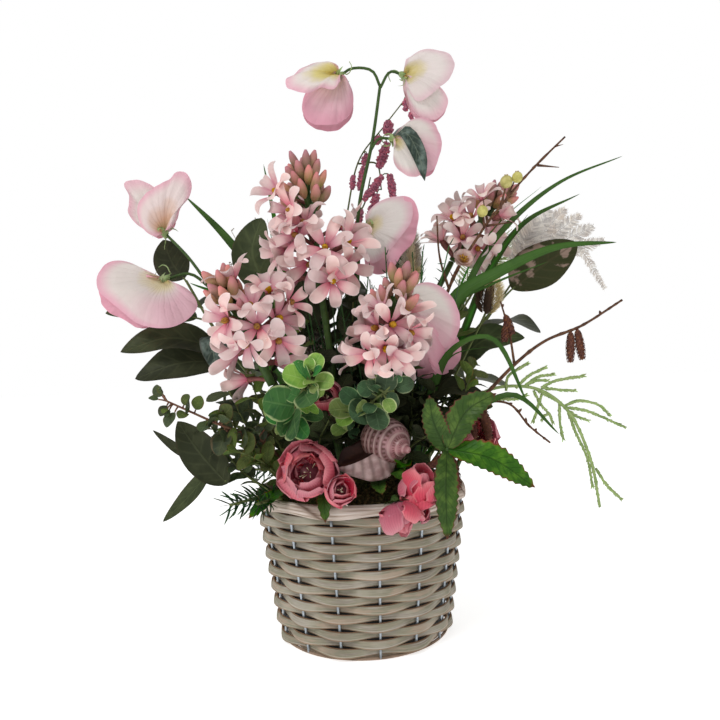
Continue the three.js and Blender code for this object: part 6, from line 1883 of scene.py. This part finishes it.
def make_plume(name, look, slot, broad, stalk, vanes):
    """Feathery vanes: an arched rib with fine barbs in pairs, and finer hairs on the barbs"""
    piece = Piece(f"plume_{name}", look, "olive_stem")
    draw = Draws(950 + len(name))
    piece.tube(stalk, [1.6, 1.0], 1, 20, 6)
    for root, middle, tip, half in vanes:
        places = [root, middle, tip]
        shares = np.linspace(0.04, 0.99, BARBS)
        ribs = spline(places, shares)
        widths = half * outline(shares, 0.5, 0.6)
        piece.tube(places, [0.8, 0.4], 0, 16, 5)
        for rib, width, along, side, normal in zip(ribs, widths, *sheet_frame(ribs, (0, -0.95, 0.3))):
            reach = max(width * draw(0.85, 1.1), 2.0) * 1.15
            for hand in (-1, 1):
                way = unit(side * hand + along * draw(0.6, 1.0) + normal * draw(-0.35, 0.35))
                add_barb(piece, draw, rib, along, way, normal, reach, broad)
    piece.build(slot, f"plume_{name}")


def make_draping_spray():
    """A thin arching spray whose twiglets carry short soft needles"""
    piece = Piece("draping_spray", "pale_green")
    draw = Draws(61)
    piece.tube(DRAPE, [1.5, 1.4, 1.3, 1.0], 0, 60, 6)
    paths = [[(x, -22 - 0.27 * (x - 108), z) for x, z in twiglet] for twiglet in DRAPE_TWIGLETS]
    paths.append(DRAPE[3:])
    for places in paths:
        spots = spline(places, np.linspace(0.03, 0.99, int(length_of(places) / 1.3)))
        piece.tube(places, [1.15, 0.8], 0, 16, 6)
        for spot, along, side, normal in zip(spots, *sheet_frame(spots, (0.1, -0.9, 0.3))):
            for hand in (-1, 1):
                way = unit(side * hand * 0.5 + along * 1.1 + normal * draw(-0.5, 0.5))
                tip = spot + way * draw(2.4, 4.0)
                piece.leaf(draw, 0, [spot, (spot + tip) / 2, tip], normal, 0.6, 5, 3, (0.4, 0.6), 0.5)
    piece.build("pale_green", "draping_spray")


def make_needles(name, reach, seed, stalks):
    """Dense dark needles round slim stalks"""
    piece = Piece(f"needle_sprig_{name}", "needle", "olive_stem")
    draw = Draws(seed)
    for stalk in stalks:
        piece.tube(stalk, [1.8, 1.2], 1, 14, 6)
        for i in range(NEEDLE_COUNT):
            share = 0.42 + 0.58 * (i + 0.5) / NEEDLE_COUNT
            behind, spot, ahead = spline(stalk, [share - 0.04, share, min(1, share + 0.04)])
            _, out, way = around(unit(ahead - behind), i, NEEDLE_COUNT, 0, 1, draw(0.5, 1.0))
            tip = spot + way * reach * draw(0.75, 1.08)
            bent = (spot + tip) / 2 + out * 1.2
            piece.leaf(draw, 0, [spot, bent, tip], np.cross(way, out) + 0.001, 1.0, 7, 3, (0.35, 0.6), 0.6)
    piece.build("needle", f"needle_sprig_{name}")


def make_amaranth():
    """Grainy magenta clumps that hang from thin forking stalks"""
    piece = Piece("amaranth_spray", "magenta", "olive_stem")
    draw = Draws(43)
    piece.tube(AMARANTH_STALK, [1.5, 1.1], 1, 26, 6)
    for places in AMARANTH_STRINGS:
        piece.tube(places, [0.9, 0.6], 1, 24, 6)
    for upper, lower, radius in CLUMPS:
        upper, lower = np.array(upper, float), np.array(lower, float)
        axis = lower - upper
        near = min((nearest_on(places, upper) for places in AMARANTH_STRINGS),
                   key=lambda spot: np.linalg.norm(spot - upper))
        piece.tube([near, (near + upper) / 2 + np.array([0, 0, 2.5]), upper, lower], [0.6, 0.5], 1, 12, 5)
        beads = int(14 + np.linalg.norm(axis) * radius * 2.4)
        for i in range(beads):
            share, out, _ = around(axis, i, beads, 0.0, 1.0, draw(-0.3, 0.3))
            swell = math.sin(math.pi * (0.12 + 0.76 * share)) ** 0.7
            place = upper + axis * share + out * radius * 0.85 * swell * draw(0.3, 1.1)
            size = draw(0.8, 1.35)
            piece.grid(ball(place, (size, size * 1.2), out, 5, 6), 0, True, draw(-1, 1))
    piece.build("amaranth", "amaranth_spray")


def make_statice():
    """Clusters of small papery florets with pale rims"""
    piece = Piece("statice_cluster", "statice", "olive_stem")
    draw = Draws(71)
    piece.tube(STATICE_STALK, [1.5, 1.3], 1, 16, 6)
    foot = np.array(STATICE_FOOT, float)
    axis = np.array(STATICE_TOP, float) - foot
    piece.tube([foot, foot + axis], [2, 7, 8, 5], 0, 12, 9, -1.0)
    turn = np.linspace(0, 2 * math.pi, 10, endpoint=False)
    frill = 1 + 0.22 * np.sin(5 * turn)[:, None]
    for i in range(STATICE_FLORETS):
        share, out, way = around(axis, i, STATICE_FLORETS, 0.02, 1.0, draw(0.1, 0.8))
        swell = 0.55 + 0.45 * math.sin(math.pi * share)
        root = foot + axis * share + out * 5 * swell
        face = unit(way + draw.vector(0.4))
        mouth = root + face * STATICE_REACH * draw(0.15, 0.62) * swell
        ring = spoke(face, turn)
        size = draw(1.3, 2.3)
        cone = [mouth - face * 4 + ring * 0.4, mouth - face * 1.5 + ring * size * 0.6,
                mouth + ring * size * frill, mouth - face * 0.6 + ring * size * 0.25]
        piece.grid(np.array(cone), 0, True, draw(-1, 1))
    piece.build("statice", "statice_cluster")


# Leafy filler sprigs among the named ones: foot, middle and top of each stalk, leaf length, leaves, look
FILLERS = (
    ((-50, -50, 120), (-74, -74, 158), (-98, -84, 172), 11, 16, "olive_leaf"),
    ((-52, -38, 122), (-84, -62, 176), (-104, -66, 220), 12, 18, "grey_leaf"),
    ((-40, -42, 124), (-70, -66, 184), (-86, -74, 232), 12, 16, "olive_leaf"),
    ((-44, -30, 124), (-66, -48, 200), (-70, -56, 250), 13, 16, "dark_leaf"),
    ((-60, -40, 122), (-96, -56, 150), (-120, -60, 190), 11, 18, "grey_leaf"),
    ((-24, -46, 134), (-32, -72, 170), (-20, -84, 196), 12, 16, "dark_leaf"),
    ((0, -40, 140), (4, -58, 190), (24, -70, 224), 12, 18, "dark_leaf"),
    ((28, -46, 132), (40, -70, 166), (56, -84, 178), 11, 16, "dark_leaf"),
    ((14, -30, 146), (30, -44, 210), (58, -52, 236), 12, 18, "serrated"),
    ((44, -20, 134), (70, -30, 180), (96, -44, 214), 12, 18, "dark_leaf"),
    ((-20, -20, 150), (-14, -36, 220), (2, -40, 262), 12, 18, "dark_leaf"),
    ((60, 10, 122), (96, 20, 160), (120, 26, 196), 12, 18, "olive_leaf"),
    ((54, 40, 122), (84, 66, 160), (100, 78, 200), 12, 18, "grey_leaf"),
    ((20, 56, 122), (34, 88, 170), (44, 98, 212), 12, 18, "olive_leaf"),
    ((-24, 54, 122), (-40, 84, 160), (-52, 96, 206), 12, 18, "dark_leaf"),
    ((-56, 34, 122), (-90, 54, 156), (-108, 66, 190), 12, 18, "grey_leaf"),
    ((-64, 4, 122), (-100, 8, 160), (-122, 10, 196), 12, 18, "olive_leaf"),
    ((0, 20, 150), (4, 36, 230), (10, 44, 300), 13, 20, "dark_leaf"),
    ((-30, 10, 146), (-44, 20, 230), (-52, 24, 300), 13, 20, "dark_leaf"),
    ((34, 14, 146), (50, 30, 220), (64, 36, 280), 13, 20, "olive_leaf"),
    ((-10, 6, 150), (-20, -4, 240), (-26, -10, 312), 15, 16, "dark_leaf"),
    ((10, 2, 150), (16, -8, 230), (22, -14, 284), 15, 16, "dark_leaf"),
    ((-40, -6, 140), (-50, -14, 220), (-56, -20, 284), 15, 16, "olive_leaf"),
    ((20, 0, 146), (44, -8, 226), (56, -12, 292), 15, 16, "dark_leaf"),
    ((-4, -20, 150), (-4, -28, 226), (0, -32, 296), 14, 16, "dark_leaf"),
    ((54, 0, 130), (76, -4, 220), (92, -8, 276), 14, 16, "olive_leaf"),
    ((50, -24, 130), (76, -52, 176), (96, -62, 232), 11, 20, "olive_leaf"),
    ((0, -40, 146), (2, -56, 174), (0, -62, 210), 15, 18, "dark_leaf"),
    ((20, -44, 146), (22, -56, 178), (16, -62, 214), 15, 18, "dark_leaf"),
    ((40, -30, 146), (44, -44, 182), (46, -54, 218), 15, 18, "dark_leaf"),
    ((-16, -44, 146), (-18, -56, 178), (-16, -62, 210), 15, 18, "dark_leaf"),
    ((30, -10, 146), (30, -20, 190), (34, -30, 240), 15, 18, "dark_leaf"),
    ((56, -30, 136), (62, -44, 178), (64, -52, 214), 15, 18, "dark_leaf"),
    ((6, -10, 146), (8, -20, 200), (6, -30, 250), 15, 18, "dark_leaf"),
    ((-30, -30, 146), (-34, -40, 190), (-36, -48, 240), 15, 18, "dark_leaf"),
)
# Colour slot of a filler with each look
FILLER_SLOTS = {
    "olive_leaf": "eucalyptus_leaf",
    "grey_leaf": "grey_leaf",
    "dark_leaf": "dark_leaf",
    "serrated": "serrated_leaf",
}


def make_filler(index, foot, middle, top, reach, leaves, look):
    """A leafy sprig that fills the arrangement, rooted in the moss"""
    piece = Piece(f"filler_{index + 1}", look, "olive_stem")
    draw = Draws(1200 + index)
    stalk = [foot, middle, top]
    piece.tube(stalk, [1.4, 1.0, 0.6], 1, 16, 6)
    axis = np.array(top, float) - np.array(foot, float)
    for i in range(leaves):
        share, _, way = around(axis, i, leaves, 0.3, 1.0, draw(0.2, 0.8))
        root = spline(stalk, [share])[0]
        size = reach * draw(0.8, 1.3)
        tip = root + way * size * 1.5 + np.array([0, 0, draw(-3, 2)])
        places = [root, (root + tip) / 2 + np.array([0, 0, 1.5]), tip]
        face = unit(np.array([0, -0.3, 0.8]) + draw.vector(0.5))
        piece.leaf(draw, 0, places, face, size * draw(0.36, 0.5), 9, 7, (0.7, 0.6), draw(0.2, 0.6), 0.6,
                   1.3, draw(0, 6))
    piece.build(FILLER_SLOTS[look])


def make_thin_stems():
    """Thin dark stems with short needles that rise between the flower heads"""
    piece = Piece("thin_stems", "needle")
    draw = Draws(1300)
    for _ in range(THIN_STEMS):
        foot = np.array([draw(-34, 50), draw(-44, 24), 146])
        top = foot + np.array([draw(-26, 26) + foot[0] * 0.35, draw(-18, 10), draw(90, 190)])
        middle = (foot + top) / 2 + draw.vector(5)
        piece.tube([foot - np.array([0, 0, 30]), foot, middle, top], [0.9, 0.5], 0, 16, 5, draw(-1, 1))
        for spot in spline([foot, middle, top], 26)[STEM_NEEDLES_FROM:]:
            way = unit(draw.vector() + np.array([0, 0, 1.1]))
            tip = spot + way * draw(6, 11)
            places = [spot, (spot + tip) / 2, tip]
            piece.leaf(draw, 0, places, draw.vector() + 0.01, 0.5, 4, 2, (0.3, 0.6), 0.01)
    piece.build("stem")


def make_dry_twigs():
    """Pale twiglets with tiny knobs on short side shoots"""
    piece = Piece("dry_twigs", "dry_twig")
    draw = Draws(1400)
    for places in DRY_TWIGS:
        piece.tube(places, [0.8, 0.5, 0.3], 0, 14, 5)
        for spot in spline(places, np.linspace(0.5, 1.0, 7)):
            for _ in range(2):
                tip = spot + draw.vector(3.2) + np.array([0, -1, 0])
                piece.tube([spot, tip], [0.35, 0.3], 0, 3, 4)
                piece.grid(ball(tip, (0.7, 0.7), UP, 4, 5), 0, True)
    piece.build("plume_white")


make_basket_looks()
make_flower_looks()
make_leaf_looks()
make_twig_and_seed_looks()
set_camera()
set_lights()
lay_floor()

dress_board()
make_wires()
make_weave()
make_rim()
make_moss()
for index, (head, florets) in enumerate(zip(STAR_HEADS, FLORETS)):
    make_star_stem(f"star_stem_{index + 1}", head)
    make_star_head(f"star_head_{index + 1}", head, florets)
for index in range(len(SWEET_PEAS)):
    make_sweet_pea(index)
for name, stem in PEA_STEMS.items():
    make_pea_stem(name, *stem)
for index, bloom in enumerate(RANUNCULUS):
    make_ranunculus(index, *bloom)
make_shell()
for name, sprig in EUCALYPTUS.items():
    make_eucalyptus(name, *sprig)
for name, branch in LEAF_BRANCHES.items():
    make_leaf_branch(name, *branch)
for name, blades in GRASS.items():
    make_grass(name, blades)
for name, sprig in SERRATED.items():
    make_serrated(name, *sprig)
make_hazel()
make_thorny()
for index, tail in enumerate(BUNNY_TAILS):
    make_bunny_tail(index, *tail)
for name, plume in PLUMES.items():
    make_plume(name, *plume)
make_draping_spray()
for name, sprig in NEEDLES.items():
    make_needles(name, *sprig)
make_amaranth()
make_statice()
for index, filler in enumerate(FILLERS):
    make_filler(index, *filler)
make_broad_leaves()
make_low_catkins()
make_thin_stems()
make_dry_twigs()
make_small_leaves()
